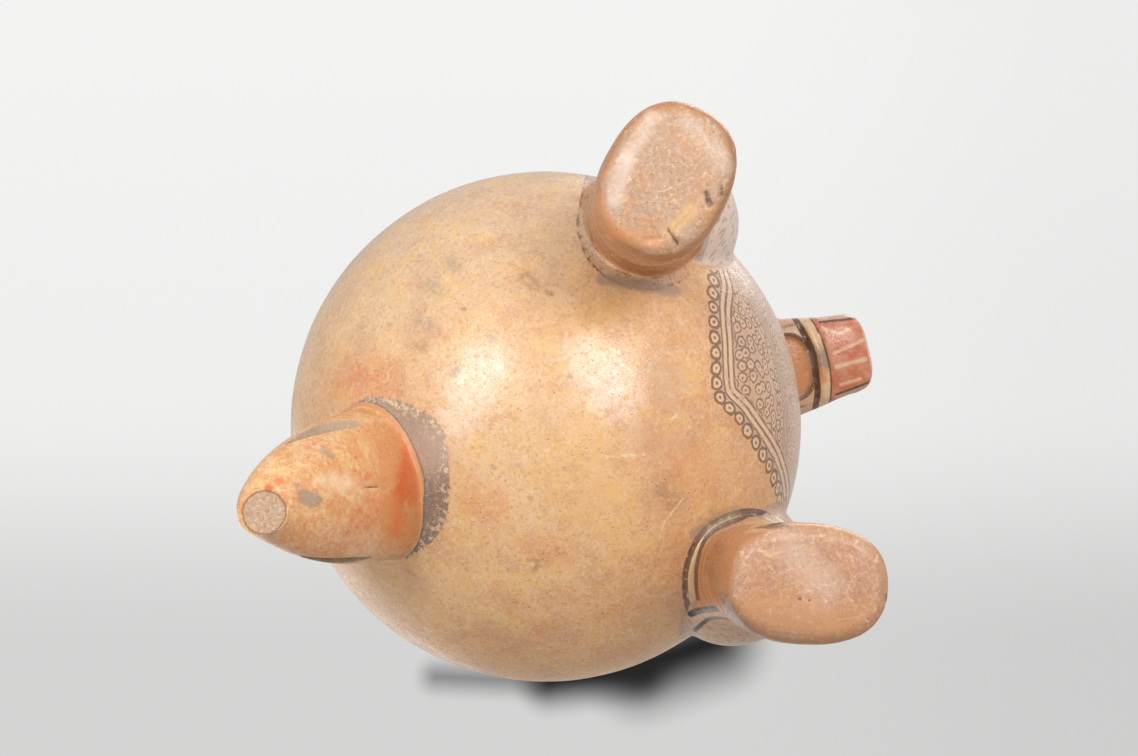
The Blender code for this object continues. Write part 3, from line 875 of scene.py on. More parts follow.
# ---------------- head and forelimbs
@dataclass
class Head:
    """The cat's head, with open jaws."""

    turn: float = 1.7  # azimuth
    # distance from the jar's axis, half width, height of the middle, half height
    jaw: tuple = ((0.075, 0.0275, 0.206, 0.0105), (0.1, 0.0268, 0.2052, 0.0102),
                  (0.127, 0.0232, 0.2048, 0.0087),
                  (0.144, 0.02, 0.2052, 0.0082), (0.153, 0.0194, 0.2058, 0.0077),
                  (0.1578, 0.0168, 0.2062, 0.0066), (0.1606, 0.01, 0.2066, 0.0042))
    skull: tuple = ((0.07, 0.027, 0.236, 0.026), (0.092, 0.0268, 0.2375, 0.028),
                    (0.109, 0.0258, 0.2375, 0.0262), (0.122, 0.0236, 0.2365, 0.021),
                    (0.133, 0.0214, 0.235, 0.0158), (0.145, 0.0204, 0.235, 0.014),
                    (0.1535, 0.0188, 0.235, 0.0124), (0.1592, 0.0122, 0.235, 0.008))
    boxiness: float = 2.8
    mouth_back: float = 0.124
    mouth_front: float = 0.172
    mouth_height: float = 0.217
    mouth_gape: float = 0.0125
    mouth_corner: float = 0.12
    eye: tuple = (0.1205, 0.0165, 0.2535)  # distance from the axis, sideways, height
    ear: tuple = (0.0985, 0.0205, 0.267)
    nose: tuple = (0.1535, 0.0, 0.2465)
    whisker_pad: tuple = (0.148, 0.009, 0.229)
    cheek: tuple = (0.114, 0.0185, 0.227)
    upper_fang: tuple = (0.1515, 0.0105, 0.2195)
    lower_fang: tuple = (0.146, 0.013, 0.214)
    fang_length: float = 0.014
    throat_back: float = 0.1165  # the sunk panel under the jaw: where it starts to round off,
    throat_half: tuple = (0.0158, 0.0145)  # its half width and the length of its round front,
    throat_power: float = 2.8  # and how boxy it is
    chin_bow: float = 8.0  # how the crease in front of it bends back to the sides

    def place(self, out: float, sideways: float, height: float) -> Vector:
        """A point of the head: distance from the jar's axis, way to the cat's left, and height."""
        return Matrix.Rotation(math.radians(self.turn), 3, "Z") @ Vector((sideways, -out, height))

    def seen(self, points: np.ndarray) -> tuple[np.ndarray, np.ndarray]:
        """How far out along the head points lie, and how far to the cat's left."""
        angle = math.radians(self.turn)
        out = points[:, 0] * math.sin(angle) - points[:, 1] * math.cos(angle)
        return out, points[:, 0] * math.cos(angle) + points[:, 1] * math.sin(angle)

    def muzzle(self, name: str, sections: tuple) -> bpy.types.Mesh:
        """A boxy form with rounded corners along the head."""
        across = self.place(0.0, 1.0, 0.0)
        rings = []
        for out in spread(sections[0][0], sections[-1][0], 40):
            half_width, height, half_height = row_at(sections, out)
            centre = self.place(out, 0.0, height)
            rings.append(ring(centre, across, UPWARDS, half_width, half_height, self.boxiness))
        return loft(name, rings)

    def solids(self) -> list[bpy.types.Mesh]:
        """Jaws, nose, whisker pads, cheeks, brows and ears, before they are worked together."""
        made = [self.muzzle("lower_jaw", self.jaw), self.muzzle("skull", self.skull),
                ellipsoid("nose", self.place(*self.nose), (0.0095, 0.007, 0.005), self.turn)]
        pairs = ((self.eye, (0.0072, 0.0072, 0.0072), 0.0), (self.ear, (0.0115, 0.0052, 0.013), -12.0),
                 (self.whisker_pad, (0.0098, 0.0105, 0.0085), 0.0),
                 (self.cheek, (0.0085, 0.013, 0.013), 0.0))
        for side in Side:
            for (out, sideways, height), half, lean in pairs:
                centre = self.place(out, side.value * sideways, height)
                made.append(ellipsoid("feature", centre, half, self.turn, lean))
        return made

    def mouth(self) -> bpy.types.Mesh:
        """The wedge that opens the jaws."""

        def build(working: bmesh.types.BMesh) -> None:
            """Shapes a cube into the wedge."""
            bmesh.ops.create_cube(working, size=1.0)
            for vert in working.verts:
                front = vert.co.y < 0.0
                out = self.mouth_front if front else self.mouth_back
                gape = self.mouth_gape * (1.0 if front else self.mouth_corner)
                rise = math.copysign(0.5 * gape, vert.co.z)
                vert.co = self.place(out, math.copysign(0.04, vert.co.x), self.mouth_height + rise)

        return with_bmesh("mouth", build)

    def fangs(self) -> list[bpy.types.Mesh]:
        """Four canines: two hang from the upper jaw and two stand on the lower."""
        made = []
        for side in Side:
            for (out, sideways, height), way in ((self.upper_fang, -1), (self.lower_fang, 1)):
                centre = self.place(out, side.value * sideways, height)
                matrix = Matrix.Translation(centre) @ Matrix.Rotation(0.0 if way > 0 else math.pi, 4, "X")
                made.append(with_bmesh("fang", lambda working, matrix=matrix: bmesh.ops.create_cone(
                    working, cap_ends=True, segments=20, radius1=0.0036, radius2=0.0011,
                    depth=self.fang_length, matrix=matrix)))
        return made

    def incisors(self, rows: Group) -> list[bpy.types.Mesh]:
        """The small teeth between and behind the canines, in both jaws."""
        made = []
        for jaw, (out, _, height), way in (("upper", self.upper_fang, -1), ("lower", self.lower_fang, 1)):
            gum = self.mouth_height - way * 0.0055
            front = [self.place(out + 0.0012, sideways, gum) for sideways in spread(-0.0062, 0.0062, 5)]
            made.append(grown(f"{jaw}_incisors", rows, {
                "Count": 5, "Radius": 0.00125, "Length": 0.0056, "Way": (0.0, 0.0, float(way)), "Seed": 3},
                path_curve(jaw, front, [1.0] * 5)))
            for side in Side:
                back = [self.place(out - 0.0068 - 0.003 * step, side.value * (0.016 + 0.0007 * step),
                                   gum + way * 0.0008 * step) for step in range(4)]
                made.append(grown(f"{jaw}_cheek_teeth", rows, {
                    "Count": 4, "Radius": 0.0013, "Length": 0.0052, "Way": (0.0, 0.0, float(way)), "Seed": 7},
                    path_curve(jaw, back, [1.0] * 4)))
        return made


@dataclass
class Forelimb:
    """A forelimb in relief, from the shoulder down and forward to a paw under the head."""

    side: Side
    # azimuth, radius, height from shoulder to wrist
    path: tuple = ((50.0, 0.068, 0.252), (52.0, 0.083, 0.232), (50.0, 0.097, 0.212), (39.0, 0.104, 0.197),
                   (26.0, 0.107, 0.19))
    girth: tuple = (0.012, 0.013, 0.0125, 0.0108, 0.0098)
    paw_half: tuple = (0.0135, 0.0105, 0.0105)

    def solids(self, rolls: Group) -> list[bpy.types.Mesh]:
        """The limb and its paw."""
        points = [around(self.side.value * azimuth, radius, height) for azimuth, radius, height in self.path]
        limb = grown("forelimb", rolls, {"Segments": 32, "Spacing": 0.002},
                     path_curve("forelimb", points, self.girth))
        azimuth = self.side.value * self.path[-1][0]
        return [limb, ellipsoid("paw", points[-1], self.paw_half, azimuth)]

    def claws(self, rows: Group) -> bpy.types.Mesh:
        """Four short claws at the paw's end."""
        azimuth, radius, height = self.path[-1]
        reach = azimuth - math.degrees(self.paw_half[0] / radius) + 1.2
        places = [around(self.side.value * reach, radius + 0.004, height + lift)
                  for lift in spread(-0.0052, 0.0052, 4)]
        way = around(self.side.value * (reach - 90.0), 1.0, 0.0)
        return grown("claws", rows, {"Count": 4, "Radius": 0.0013, "Length": 0.0072, "Bluntness": 0.25,
                                     "Way": tuple(way), "Seed": 11}, path_curve("claws", places, [1.0] * 4))


# ---------------- sculpting and colour fields
def from_line(points: np.ndarray, line: Sequence[tuple[float, float]]) -> tuple[np.ndarray, np.ndarray]:
    """Where flat points lie along and beside a smooth line.

    Args:
        points: Rows of two numbers.
        line: The line's own points.

    Returns:
        How far along the line each point lies, and how far beside it: to the left of its way is positive.
    """
    gaps = [math.dist(first, second) for first, second in zip(line, line[1:])]
    knots = [(sum(gaps[:number]), *knot) for number, knot in enumerate(line)]
    length = knots[-1][0]
    route = [row_at(knots, at) for at in spread(0.0, length, int(length / LINE_STEP))]
    return from_route(points, np.array(route))


def from_route(points: np.ndarray, route: np.ndarray) -> tuple[np.ndarray, np.ndarray]:
    """Where flat points lie along and beside a route of straight steps that goes on past its ends."""
    steps = np.diff(route, axis=0)
    lengths = np.hypot(*steps.T)
    run = np.concatenate(([0.0], np.cumsum(lengths)))
    best = np.full(len(points), np.inf)
    along, beside = np.zeros(len(points)), np.zeros(len(points))
    for number, (start, step, length) in enumerate(zip(route, steps, lengths)):
        way, off = step / length, points - start
        first = -np.inf if number == 0 else 0.0
        last = np.inf if number == len(steps) - 1 else length
        ahead = np.clip(off @ way, first, last)
        rest = off - ahead[:, None] * way
        gap = np.hypot(*rest.T)
        better = gap < best
        best[better], along[better] = gap[better], (run[number] + ahead)[better]
        beside[better] = (np.copysign(gap, way[0] * rest[:, 1] - way[1] * rest[:, 0]))[better]
    return along, beside


def away_from(points: np.ndarray, solid: bpy.types.Mesh, reach: float = 0.03) -> np.ndarray:
    """How far outside a closed solid points lie: below zero inside it, and FAR beyond its reach."""
    working = bmesh.new()
    working.from_mesh(solid)
    tree = BVHTree.FromBMesh(working)
    working.free()
    corners = points_of(solid)
    low, high = corners.min(0) - reach, corners.max(0) + reach
    near = np.nonzero(((points > low) & (points < high)).all(1))[0]
    gaps = np.full(len(points), FAR)
    for number in near:
        point = Vector(points[number])
        place, normal, _, gap = tree.find_nearest(point)
        gaps[number] = math.copysign(gap, (point - place).dot(normal))
    return gaps


@dataclass
class Sculptor:
    """The fine forms worked into the dense skin."""

    head: Head
    feet: tuple[Foot, ...]
    tail: TailFoot
    # each chip's, pit's or scar's start and end to the cat's left and forwards, half width and depth in mm
    pits: tuple = (
        (-76.2, 87.9, -71.5, 88.4, 1.4, 1.2), (-76.5, 94.4, -74.0, 93.7, 1.0, 0.8),
        (-65.7, 69.5, -60.0, 71.6, 0.7, 1.4), (-60.0, 71.6, -58.8, 71.8, 1.8, 1.4),
        (-64.0, 60.0, -63.2, 65.0, 1.3, 0.9), (-80.0, 42.0, -77.0, 42.8, 1.2, 0.8),
        (90.2, 82.5, 90.2, 82.6, 0.9, 0.7), (91.6, 86.2, 91.7, 86.4, 0.8, 0.5),
        (67.2, 76.0, 68.0, 78.5, 2.2, 0.5), (-6.9, -111.4, -6.6, -111.0, 1.3, 0.8),
        (3.2, -76.8, 4.6, -72.4, 0.6, 0.9))

    def push(self, points: np.ndarray, normals: np.ndarray) -> np.ndarray:
        """How far each point of the skin moves out along its normal."""
        under = smooth_step(-normals[:, 2], 0.25, 0.7)
        moved = self.burnish(points) + self.throat(points, under)
        low = smooth_step(points[:, 2], 0.065, 0.055) * smooth_step(-normals[:, 2], 0.1, 0.4)
        for row in self.pits:
            left, front, left_end, front_end, half, depth = (MM * value for value in row)
            start, way = np.array((left, -front)), np.array((left_end - left, front - front_end))
            off = points[:, :2] - start
            share = np.clip((off @ way) / max(1e-9, (way**2).sum()), 0.0, 1.0)
            gap = np.hypot(*(off - share[:, None] * way).T)
            moved -= depth * np.exp(-((gap / half) ** 2)) * low
        return moved

    def burnish(self, points: np.ndarray) -> np.ndarray:
        """The shallow unevenness that a burnishing stone leaves."""
        return np.array([0.00022 * noise.noise(Vector(point) * 34.0)
                         + 0.00009 * noise.noise(Vector(point) * 95.0) for point in points])

    def throat(self, points: np.ndarray, under: np.ndarray) -> np.ndarray:
        """The sunk panel under the jaw, the crease in front of it and the roll that carries the chin."""
        out, left = self.head.seen(points)
        jaw = under * (points[:, 2] < 0.2085) * smooth_step(out, 0.104, 0.11)
        half_width, length = self.head.throat_half
        power = self.head.throat_power
        panel = (np.maximum(out - self.head.throat_back, 0.0) / length) ** power
        panel += (np.abs(left) / half_width) ** power
        sunk = smooth_step(panel, 1.15, 0.75) * smooth_step(out, 0.135, 0.131)
        wide = smooth_step(np.abs(left), 0.0205, 0.017)
        bow = out + self.head.chin_bow * left**2
        crease = np.exp(-(((bow - 0.1322) / 0.0011) ** 2)) * wide
        roll = np.exp(-(((bow - 0.1356) / 0.0019) ** 2)) * wide
        step = np.exp(-(((bow - 0.1388) / 0.0008) ** 2)) * wide
        return jaw * (-0.0015 * sunk - 0.0016 * crease + 0.001 * roll - 0.0007 * step)

    def soles(self, points: np.ndarray) -> np.ndarray:
        """How far each point of the soles is lifted, which hollows them a little inside their rims."""
        lift = np.zeros(len(points))
        for foot in self.feet:
            _, _, share = foot.on_sole(points)
            lift += 0.0007 * smooth_step(share, 0.86, 0.6) * (points[:, 2] < 0.006)
        centre, outwards, sideways = self.tail.section(0.0)
        share = np.hypot((points[:, 0] - centre.x) / sideways, (points[:, 1] - centre.y) / outwards)
        return lift + 0.0008 * smooth_step(share, 0.92, 0.74) * (points[:, 2] < 0.003)

    def work(self, mesh: bpy.types.Mesh) -> None:
        """Shapes the skin."""
        points, normals = points_of(mesh), rows_of(mesh.vertex_normals, "vector")
        points += normals * self.push(points, normals)[:, None]
        points[:, 2] += self.soles(points)
        set_points(mesh, points)


@dataclass
class PaintPlan:
    """The smooth fields on the vessel's points that its painted lines and grounds follow."""

    jar: Jar
    tail: bpy.types.Mesh
    shafts: dict[Side, bpy.types.Mesh]
    haunches: dict[Side, bpy.types.Mesh]
    head: bpy.types.Mesh
    limbs: bpy.types.Mesh
    feet: tuple[Foot, ...]
    # the painted bib's border from the cat's right to its left: azimuth, and the way up the bowl's profile
    bib: tuple = ((-34.0, 0.129), (-27.2, 0.1162), (-21.3, 0.1011), (-11.1, 0.0894), (-5.3, 0.085),
                  (0.3, 0.0822), (5.2, 0.083), (11.3, 0.0919), (15.1, 0.0975), (20.4, 0.1075),
                  (26.6, 0.122), (34.2, 0.1411))
    # outer edges of the worn ring round the tail, the rings at the left foot and the right foot's collar,
    # as steps to the cat's left and forwards in mm
    tail_ring: tuple = ((-18.0, -91.0), (-28.6, -81.2), (-32.0, -74.5), (-32.1, -65.5), (-26.2, -53.6),
                        (-19.5, -45.5), (-12.2, -41.6), (0.1, -41.3), (15.2, -45.5), (24.1, -48.8),
                        (32.1, -56.5), (36.2, -64.1), (37.3, -72.9), (25.0, -90.0))
    left_ring: tuple = ((111.3, 42.7), (93.1, 39.5), (80.7, 40.3), (69.9, 44.2), (60.6, 51.8),
                        (56.1, 61.2), (55.7, 75.5), (61.6, 86.9), (69.6, 93.8))
    collar: tuple = ((-93.0, 41.0), (-83.3, 36.6), (-75.0, 35.7), (-64.4, 37.3), (-54.7, 43.6),
                     (-47.7, 55.0), (-45.6, 65.7), (-48.6, 78.3), (-56.0, 87.0))

    def fields(self, points: np.ndarray) -> dict[str, np.ndarray]:
        """The fields, as three numbers for each point.

        Args:
            points: Rows of x, y and z about the jar's axis.

        Returns:
            Each field by name.
        """
        climb, outside = self.jar.unrolled(points)
        turn = np.arctan2(points[:, 0], -points[:, 1])
        flat = np.stack((points[:, 0], -points[:, 1]), 1)
        along, across = from_line(np.stack((turn * BELT_RADIUS, climb), 1),
                                  [(math.radians(azimuth) * BELT_RADIUS, rise) for azimuth, rise in self.bib])
        left, sides = points[:, 0] > 0.0, (Side.LEFT, Side.RIGHT)
        shaft, haunch = (np.where(left, *(away_from(points, forms[side]) for side in sides))
                         for forms in (self.shafts, self.haunches))
        soles = [foot.on_sole(points)[2] for foot in self.feet]
        return {
            "skin": np.stack((climb, outside, turn), 1),
            "bib": np.stack((along, across, np.zeros(len(points))), 1),
            "roots": np.stack((away_from(points, self.tail) - outside, shaft - outside, haunch - shaft), 1),
            "forms": np.stack((away_from(points, self.head) - outside, haunch - outside,
                               away_from(points, self.limbs) - outside), 1),
            "marks": np.stack([from_line(flat, [(MM * left, MM * front) for left, front in edge])[1]
                               for edge in (self.tail_ring, self.left_ring, self.collar)], 1),
            "soles": np.stack((soles[0], soles[1], np.zeros(len(points))), 1),
        }

    def lay_out(self, mesh: bpy.types.Mesh) -> None:
        """Writes the fields on a mesh's points as attributes, and gives each painted face its finish."""
        points = points_of(mesh)
        fields = self.fields(points)
        for name, values in fields.items():
            attribute = mesh.attributes.new(name, "FLOAT_VECTOR", "POINT")
            attribute.data.foreach_set("vector", values.astype(np.float32).ravel())
        starts = np.empty(len(mesh.polygons), np.int32)
        corners = np.empty(len(mesh.loops), np.int32)
        finishes = np.empty(len(mesh.polygons), np.int32)
        mesh.polygons.foreach_get("loop_start", starts)
        mesh.loops.foreach_get("vertex_index", corners)
        mesh.polygons.foreach_get("material_index", finishes)

        def least(values: np.ndarray) -> np.ndarray:
            """The smallest value at each face's corners."""
            return np.minimum.reduceat(values[corners], starts)

        climb, across, front = least(fields["skin"][:, 0]), least(fields["bib"][:, 1]), least(-points[:, 1])
        tail, shaft, _ = (least(column) for column in fields["roots"].T)
        face, haunch, limb = (least(column) for column in fields["forms"].T)
        painted = finishes == Finish.BELLY.value
        for finish, where in (
            (Finish.BIB, (across > -0.007) & (front > 0.012)), (Finish.UPPER, climb > 0.226),
            (Finish.LEG, ((shaft < 0.0012) | (haunch < 0.0034)) & (climb < 0.24)),
            (Finish.TAIL, tail < 0.0002), (Finish.FORELIMB, limb < 0.0026), (Finish.HEAD, face < 0.0012)):
            finishes[painted & where] = finish.value
        mesh.polygons.foreach_set("material_index", finishes)


# ---------------- the vessel
@dataclass
class Vessel:
    """The whole vessel: one piece of fired clay."""

    jar: Jar
    right: Foot
    left: Foot
    tail: TailFoot
    head: Head
    forelimbs: tuple[Forelimb, Forelimb]
    axis: Vector
    materials: list[bpy.types.Material]
    voxel: float = 0.00115
    softening: int = 34
    kept_share: float = 0.295
    smooth_angle: float = 38.0
    rolls: Group = field(default_factory=roll_tree)
    rows: Group = field(default_factory=row_tree)

    def dressed(self, name: str, mesh: bpy.types.Mesh, finish: Finish) -> bpy.types.Object:
        """An object with all the vessel's materials, whose faces have one finish."""
        mesh.materials.clear()
        for material in self.materials:
            mesh.materials.append(material)
        return add_object(name, finished(mesh, finish))

    def worked_skin(self, parts: list[bpy.types.Mesh]) -> bpy.types.Object:
        """The filled form with all its limbs, worked into one dense skin and sculpted."""
        skin = self.dressed("worked_skin", joined("worked_skin", parts), Finish.BELLY)
        remesh = skin.modifiers.new("one_skin", "REMESH")
        remesh.mode, remesh.voxel_size = "VOXEL", self.voxel
        softened = skin.modifiers.new("softened", "SMOOTH")
        softened.iterations = self.softening
        mesh = plain_mesh(skin, "worked_skin")
        Sculptor(self.head, (self.right, self.left), self.tail).work(mesh)
        skin = self.dressed("worked_skin", mesh, Finish.BELLY)
        skin.modifiers.new("thinned", "DECIMATE").ratio = self.kept_share
        return skin

    def cutters(self) -> list[bpy.types.Mesh]:
        """Everything that is hollowed out or cut away."""
        return [self.jar.hollow(), self.tail.hollow(), *self.tail.slits(), self.right.hollow(),
                self.left.hollow(), self.right.slit(), self.left.slit(), self.head.mouth()]

    def ground(self) -> bpy.types.Mesh:
        """The slab that cuts the feet flat."""
        place = Matrix.Translation((0.0, 0.0, -0.02)) @ Matrix.Diagonal((0.6, 0.6, 0.04, 1.0))
        return with_bmesh("ground", lambda working: bmesh.ops.create_cube(working, size=1.0, matrix=place))

    def teeth(self) -> list[bpy.types.Mesh]:
        """All teeth and claws."""
        made = self.head.fangs() + self.head.incisors(self.rows)
        return made + [limb.claws(self.rows) for limb in self.forelimbs]

    def build(self) -> bpy.types.Object:
        """Models the vessel.

        Returns:
            The finished piece, at its place in the frame.
        """
        shafts = {foot.side: foot.shaft() for foot in (self.right, self.left)}
        haunches = {foot.side: foot.haunch() for foot in (self.right, self.left)}
        tail, head = self.tail.skin(), joined("head_forms", self.head.solids())
        limbs = joined("limbs", [solid for limb in self.forelimbs for solid in limb.solids(self.rolls)])
        collar = Collar(self.right.root).roll(self.jar, self.rolls)
        parts = [self.jar.skin(), *shafts.values(), *haunches.values(), tail, head, limbs, collar]
        vessel = self.worked_skin(parts)
        others = [(self.jar.lip(self.rolls), "UNION", Finish.BELLY),
                  (self.ground(), "DIFFERENCE", Finish.BELLY)]
        others += [(cutter, "DIFFERENCE", Finish.BARE) for cutter in self.cutters()]
        others += [(tooth, "UNION", Finish.CREAM) for tooth in self.teeth()]
        helpers = []
        for mesh, operation, finish in others:
            helpers.append(self.dressed(mesh.name, mesh, finish))
            boolean = vessel.modifiers.new(mesh.name, "BOOLEAN")
            boolean.operation, boolean.solver, boolean.object = operation, "MANIFOLD", helpers[-1]
        mesh = plain_mesh(vessel, "painted_vessel")
        for helper in helpers:
            bpy.data.objects.remove(helper, do_unlink=True)
        log.info("vessel: %d faces", len(mesh.polygons))
        PaintPlan(self.jar, tail, shafts, haunches, head, limbs, (self.right, self.left)).lay_out(mesh)
        return self.placed(mesh)

    def placed(self, mesh: bpy.types.Mesh) -> bpy.types.Object:
        """The piece at its place, kept inside the size of the part's own solid."""
        low, high = (np.array(corner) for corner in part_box("vessel"))
        set_points(mesh, np.clip(points_of(mesh) + np.array(self.axis), low, high))
        mesh.shade_smooth()
        mesh.set_sharp_from_angle(angle=math.radians(self.smooth_angle))
        piece = add_object("painted_vessel", mesh)
        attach(piece, "root")
        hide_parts("vessel")
        return piece


# ---------------- colours and finishes
Colour = tuple[float, float, float, float]
# a stroke, spot or stain: its start and end to the cat's left and forwards, its half width, soft edge and
# raggedness, all in mm, then its colour and its strength
Dab = tuple[float, float, float, float, float, float, float, Colour, float]


def earth(red: int, green: int, blue: int) -> Colour:
    """A colour for a shader from its 0 to 255 display values."""

    def linear(value: int) -> float:
        """One channel without its display curve."""
        share = value / 255.0
        return share / 12.92 if share <= 0.04045 else ((share + 0.055) / 1.055) ** 2.4

    return linear(red), linear(green), linear(blue), 1.0


# ---------------- effects that several finishes share
def clay_grain() -> Group:
    """The grain of old burnished clay: soft clouds, mottling, dark specks, pale scratches and a height."""
    outputs = dict.fromkeys(("Cloud", "Mottle", "Flecks", "Specks", "Scratches", "Height"), "value")
    group = Group("clay_grain", {"Vector": "vector", "Scale": 1.0}, outputs)
    graph = group.graph
    place = graph.scaled(group.given["Vector"], group.given["Scale"])
    cloud = graph.smooth(graph.noise(place, 26.0, 6.0, 0.68), 0.4, 0.62)
    mottle = graph.smooth(graph.noise(place, 150.0, 6.0, 0.74), 0.4, 0.62)
    flecks = graph.smooth(graph.noise(place, 640.0, 4.0, 0.78), 0.53, 0.62)
    gate = graph.smooth(graph.noise(place, 70.0, 3.0, 0.6), 0.44, 0.6)
    specks = graph.smooth(graph.cells(place, 400.0), 0.2, 0.09) * gate
    bent = graph.vector("ADD", place, graph.scaled(graph.out(graph.node(
        "ShaderNodeTexNoise", {"Vector": place, "Scale": 30.0, "Detail": 2.0}), "Color"), 0.012))
    lines = graph.noise(graph.vector("MULTIPLY", bent, (52.0, 7.0, 16.0)), 1.0, 1.0, 0.5)
    thin = graph.smooth(graph.math("ABSOLUTE", lines - 0.5), 0.0042, 0.0012)
    scratches = thin * graph.smooth(graph.noise(place, 34.0, 3.0, 0.6), 0.54, 0.68)
    fine = graph.noise(place, 1100.0, 2.0, 0.6)
    facets = graph.noise(graph.vector("MULTIPLY", place, (1.0, 0.45, 1.0)), 120.0, 2.0, 0.5)
    height = facets * 1.1 + mottle * 0.3 + fine * 0.22 - specks * 0.5 - scratches * 0.45
    return group.give(Cloud=cloud, Mottle=mottle, Flecks=flecks, Specks=specks, Scratches=scratches,
                      Height=height)


def brushed_line() -> Group:
    """A hand-painted line along the places where a field has one value."""
    group = Group("brushed_line", {"Field": 0.0, "Place": 0.0, "Half Width": 0.001,
                                   "Vector": "vector", "Wobble": 0.0006, "Wear": 0.3},
                  {"Mask": "value"})
    graph, given = group.graph, group.given
    drift = (graph.noise(given["Vector"], 75.0, 2.0, 0.6) - 0.5) * 2.0 * given["Wobble"]
    edge = (graph.noise(given["Vector"], 520.0, 2.0, 0.6) - 0.5) * 0.0006
    gap = graph.math("ABSOLUTE", given["Field"] - given["Place"] + drift) + edge
    line = graph.smooth(gap, given["Half Width"] + 0.0002, given["Half Width"] - 0.0002)
    brushed, wear = graph.noise(given["Vector"], 260.0, 4.0, 0.65), given["Wear"]
    return group.give(Mask=line * graph.smooth(brushed, wear - 0.04, wear + 0.12))


def brush_stroke() -> Group:
    """A soft-edged stroke, spot or stain between two points."""
    group = Group("brush_stroke", {"Vector": "vector", "Start": "vector", "End": "vector",
                                   "Half Width": 0.001, "Softness": 0.0005,
                                   "Ragged": 0.001}, {"Mask": "value"})
    graph, given = group.graph, group.given
    off = graph.vector("SUBTRACT", given["Vector"], given["Start"])
    way = graph.vector("SUBTRACT", given["End"], given["Start"])
    share = graph.math("DIVIDE", graph.dot(off, way), graph.dot(way, way) + 1e-9, clamp=True)
    gap = graph.length(graph.vector("SUBTRACT", off, graph.scaled(way, share)))
    gap = gap + (graph.noise(given["Vector"], 170.0, 5.0, 0.75) - 0.5) * 2.6 * given["Ragged"]
    return group.give(Mask=graph.smooth(gap, given["Half Width"] + given["Softness"],
                                        given["Half Width"] - given["Softness"]))


def string_of_eyelets() -> Group:
    """A string of painted eyelets along a line: dark scalloped rims, pale inside, with a dark dot."""
    group = Group("string_of_eyelets", {"Along": 0.0, "Across": 0.0, "Spacing": 0.0079,
                                        "Radius": 0.0042, "Vector": "vector"},
                  {"Dark": "value", "Pale": "value"})
    graph, given = group.graph, group.given
    number = graph.math("FLOOR", given["Along"] / given["Spacing"])
    chance = graph.out(graph.node("ShaderNodeTexWhiteNoise", {"W": number}, noise_dimensions="1D"), "Value")
    along = given["Along"] - (number + 0.5) * given["Spacing"]
    across = given["Across"] + (chance - 0.5) * 0.0007
    shake = (graph.noise(given["Vector"], 260.0, 4.0, 0.7) - 0.5) * 0.0032
    gap = graph.math("SQRT", along * along + across * across * 1.4) + shake
    radius = given["Radius"] * (0.92 + chance * 0.16)
    rim, hole, dot = (graph.smooth(gap, radius * share, radius * share - 0.0004)
                      for share in (1.0, 0.62, 0.24))
    pale = graph.smooth(gap, radius * 0.68, radius * 0.58)
    return group.give(Dark=graph.math("MAXIMUM", rim - hole, dot), Pale=pale)


def netted_spots() -> Group:
    """Small ringed spots with a dot in each, in two flat directions."""
    group = Group("netted_spots", {"Across": 0.0, "Along": 0.0, "Size": 0.005,
                                   "Ring": 1.0, "Vector": "vector"}, {"Dark": "value", "Pale": "value"})
    graph, given = group.graph, group.given
    shake = (graph.noise(given["Vector"], 330.0, 3.0, 0.65) - 0.5) * 0.42
    flat = graph.join(given["Across"] / given["Size"] + shake,
                      given["Along"] / (given["Size"] * 1.25) - shake, 0.0)
    near = graph.cells(flat, 1.0, "F1", "2D", 0.55) + shake * 0.25
    dot = graph.smooth(near, 0.15, 0.08)
    rim = graph.smooth(near, 0.53, 0.46) * graph.smooth(near, 0.31, 0.38) * given["Ring"]
    return group.give(Dark=graph.math("MAXIMUM", dot, rim), Pale=graph.smooth(near, 0.36, 0.28))


def short_dashes() -> Group:
    """Rows of short upright brush dabs, in two flat directions."""
    group = Group("short_dashes", {"Across": 0.0, "Along": 0.0, "Size": 0.004,
                                   "Vector": "vector"}, {"Mask": "value"})
    graph, given = group.graph, group.given
    flat = graph.join(given["Across"] / given["Size"], given["Along"] / (given["Size"] * 2.4), 0.0)
    gap = graph.cells(flat, 1.0, "F1", "2D") + (graph.noise(given["Vector"], 300.0, 2.0, 0.6) - 0.5) * 0.16
    return group.give(Mask=graph.smooth(gap, 0.28, 0.18))


@dataclass(frozen=True)
class Effects:
    """The shared effects, each built once."""

    grain: Group = field(default_factory=clay_grain)
    line: Group = field(default_factory=brushed_line)
    stroke: Group = field(default_factory=brush_stroke)
    eyelets: Group = field(default_factory=string_of_eyelets)
    spots: Group = field(default_factory=netted_spots)
    dashes: Group = field(default_factory=short_dashes)


# ---------------- finishes
def new_material(name: str) -> tuple[bpy.types.Material, Graph, bpy.types.Node]:
    """A material, its graph and its Principled BSDF."""
    material = bpy.data.materials.new(name)
    material.use_nodes = True
    graph = Graph(material.node_tree)
    return material, graph, graph.tree.nodes["Principled BSDF"]


@dataclass(frozen=True)
class PlainClay:
    """A clay or slip without painting: its ground, what clouds it, and how smooth it is."""

    name: str
    ground: Colour
    cloud: Colour
    fleck: Colour
    roughness: float
    bump: float

    def material(self, effects: Effects) -> bpy.types.Material:
        """The material."""
        material, graph, surface = new_material(self.name)
        place = graph.out(graph.node("ShaderNodeTexCoord"), "Object")
        grain = graph.use(effects.grain, Vector=place, Scale=1.3)
        painter = Painter(graph, self.ground)
        painter.lay(grain["Cloud"], self.cloud, 0.55)
        painter.lay(grain["Mottle"], self.fleck, 0.3)
        painter.lay(grain["Specks"], self.fleck, 0.55)
        painter.finish(surface, grain, self.roughness, self.bump)
        return material


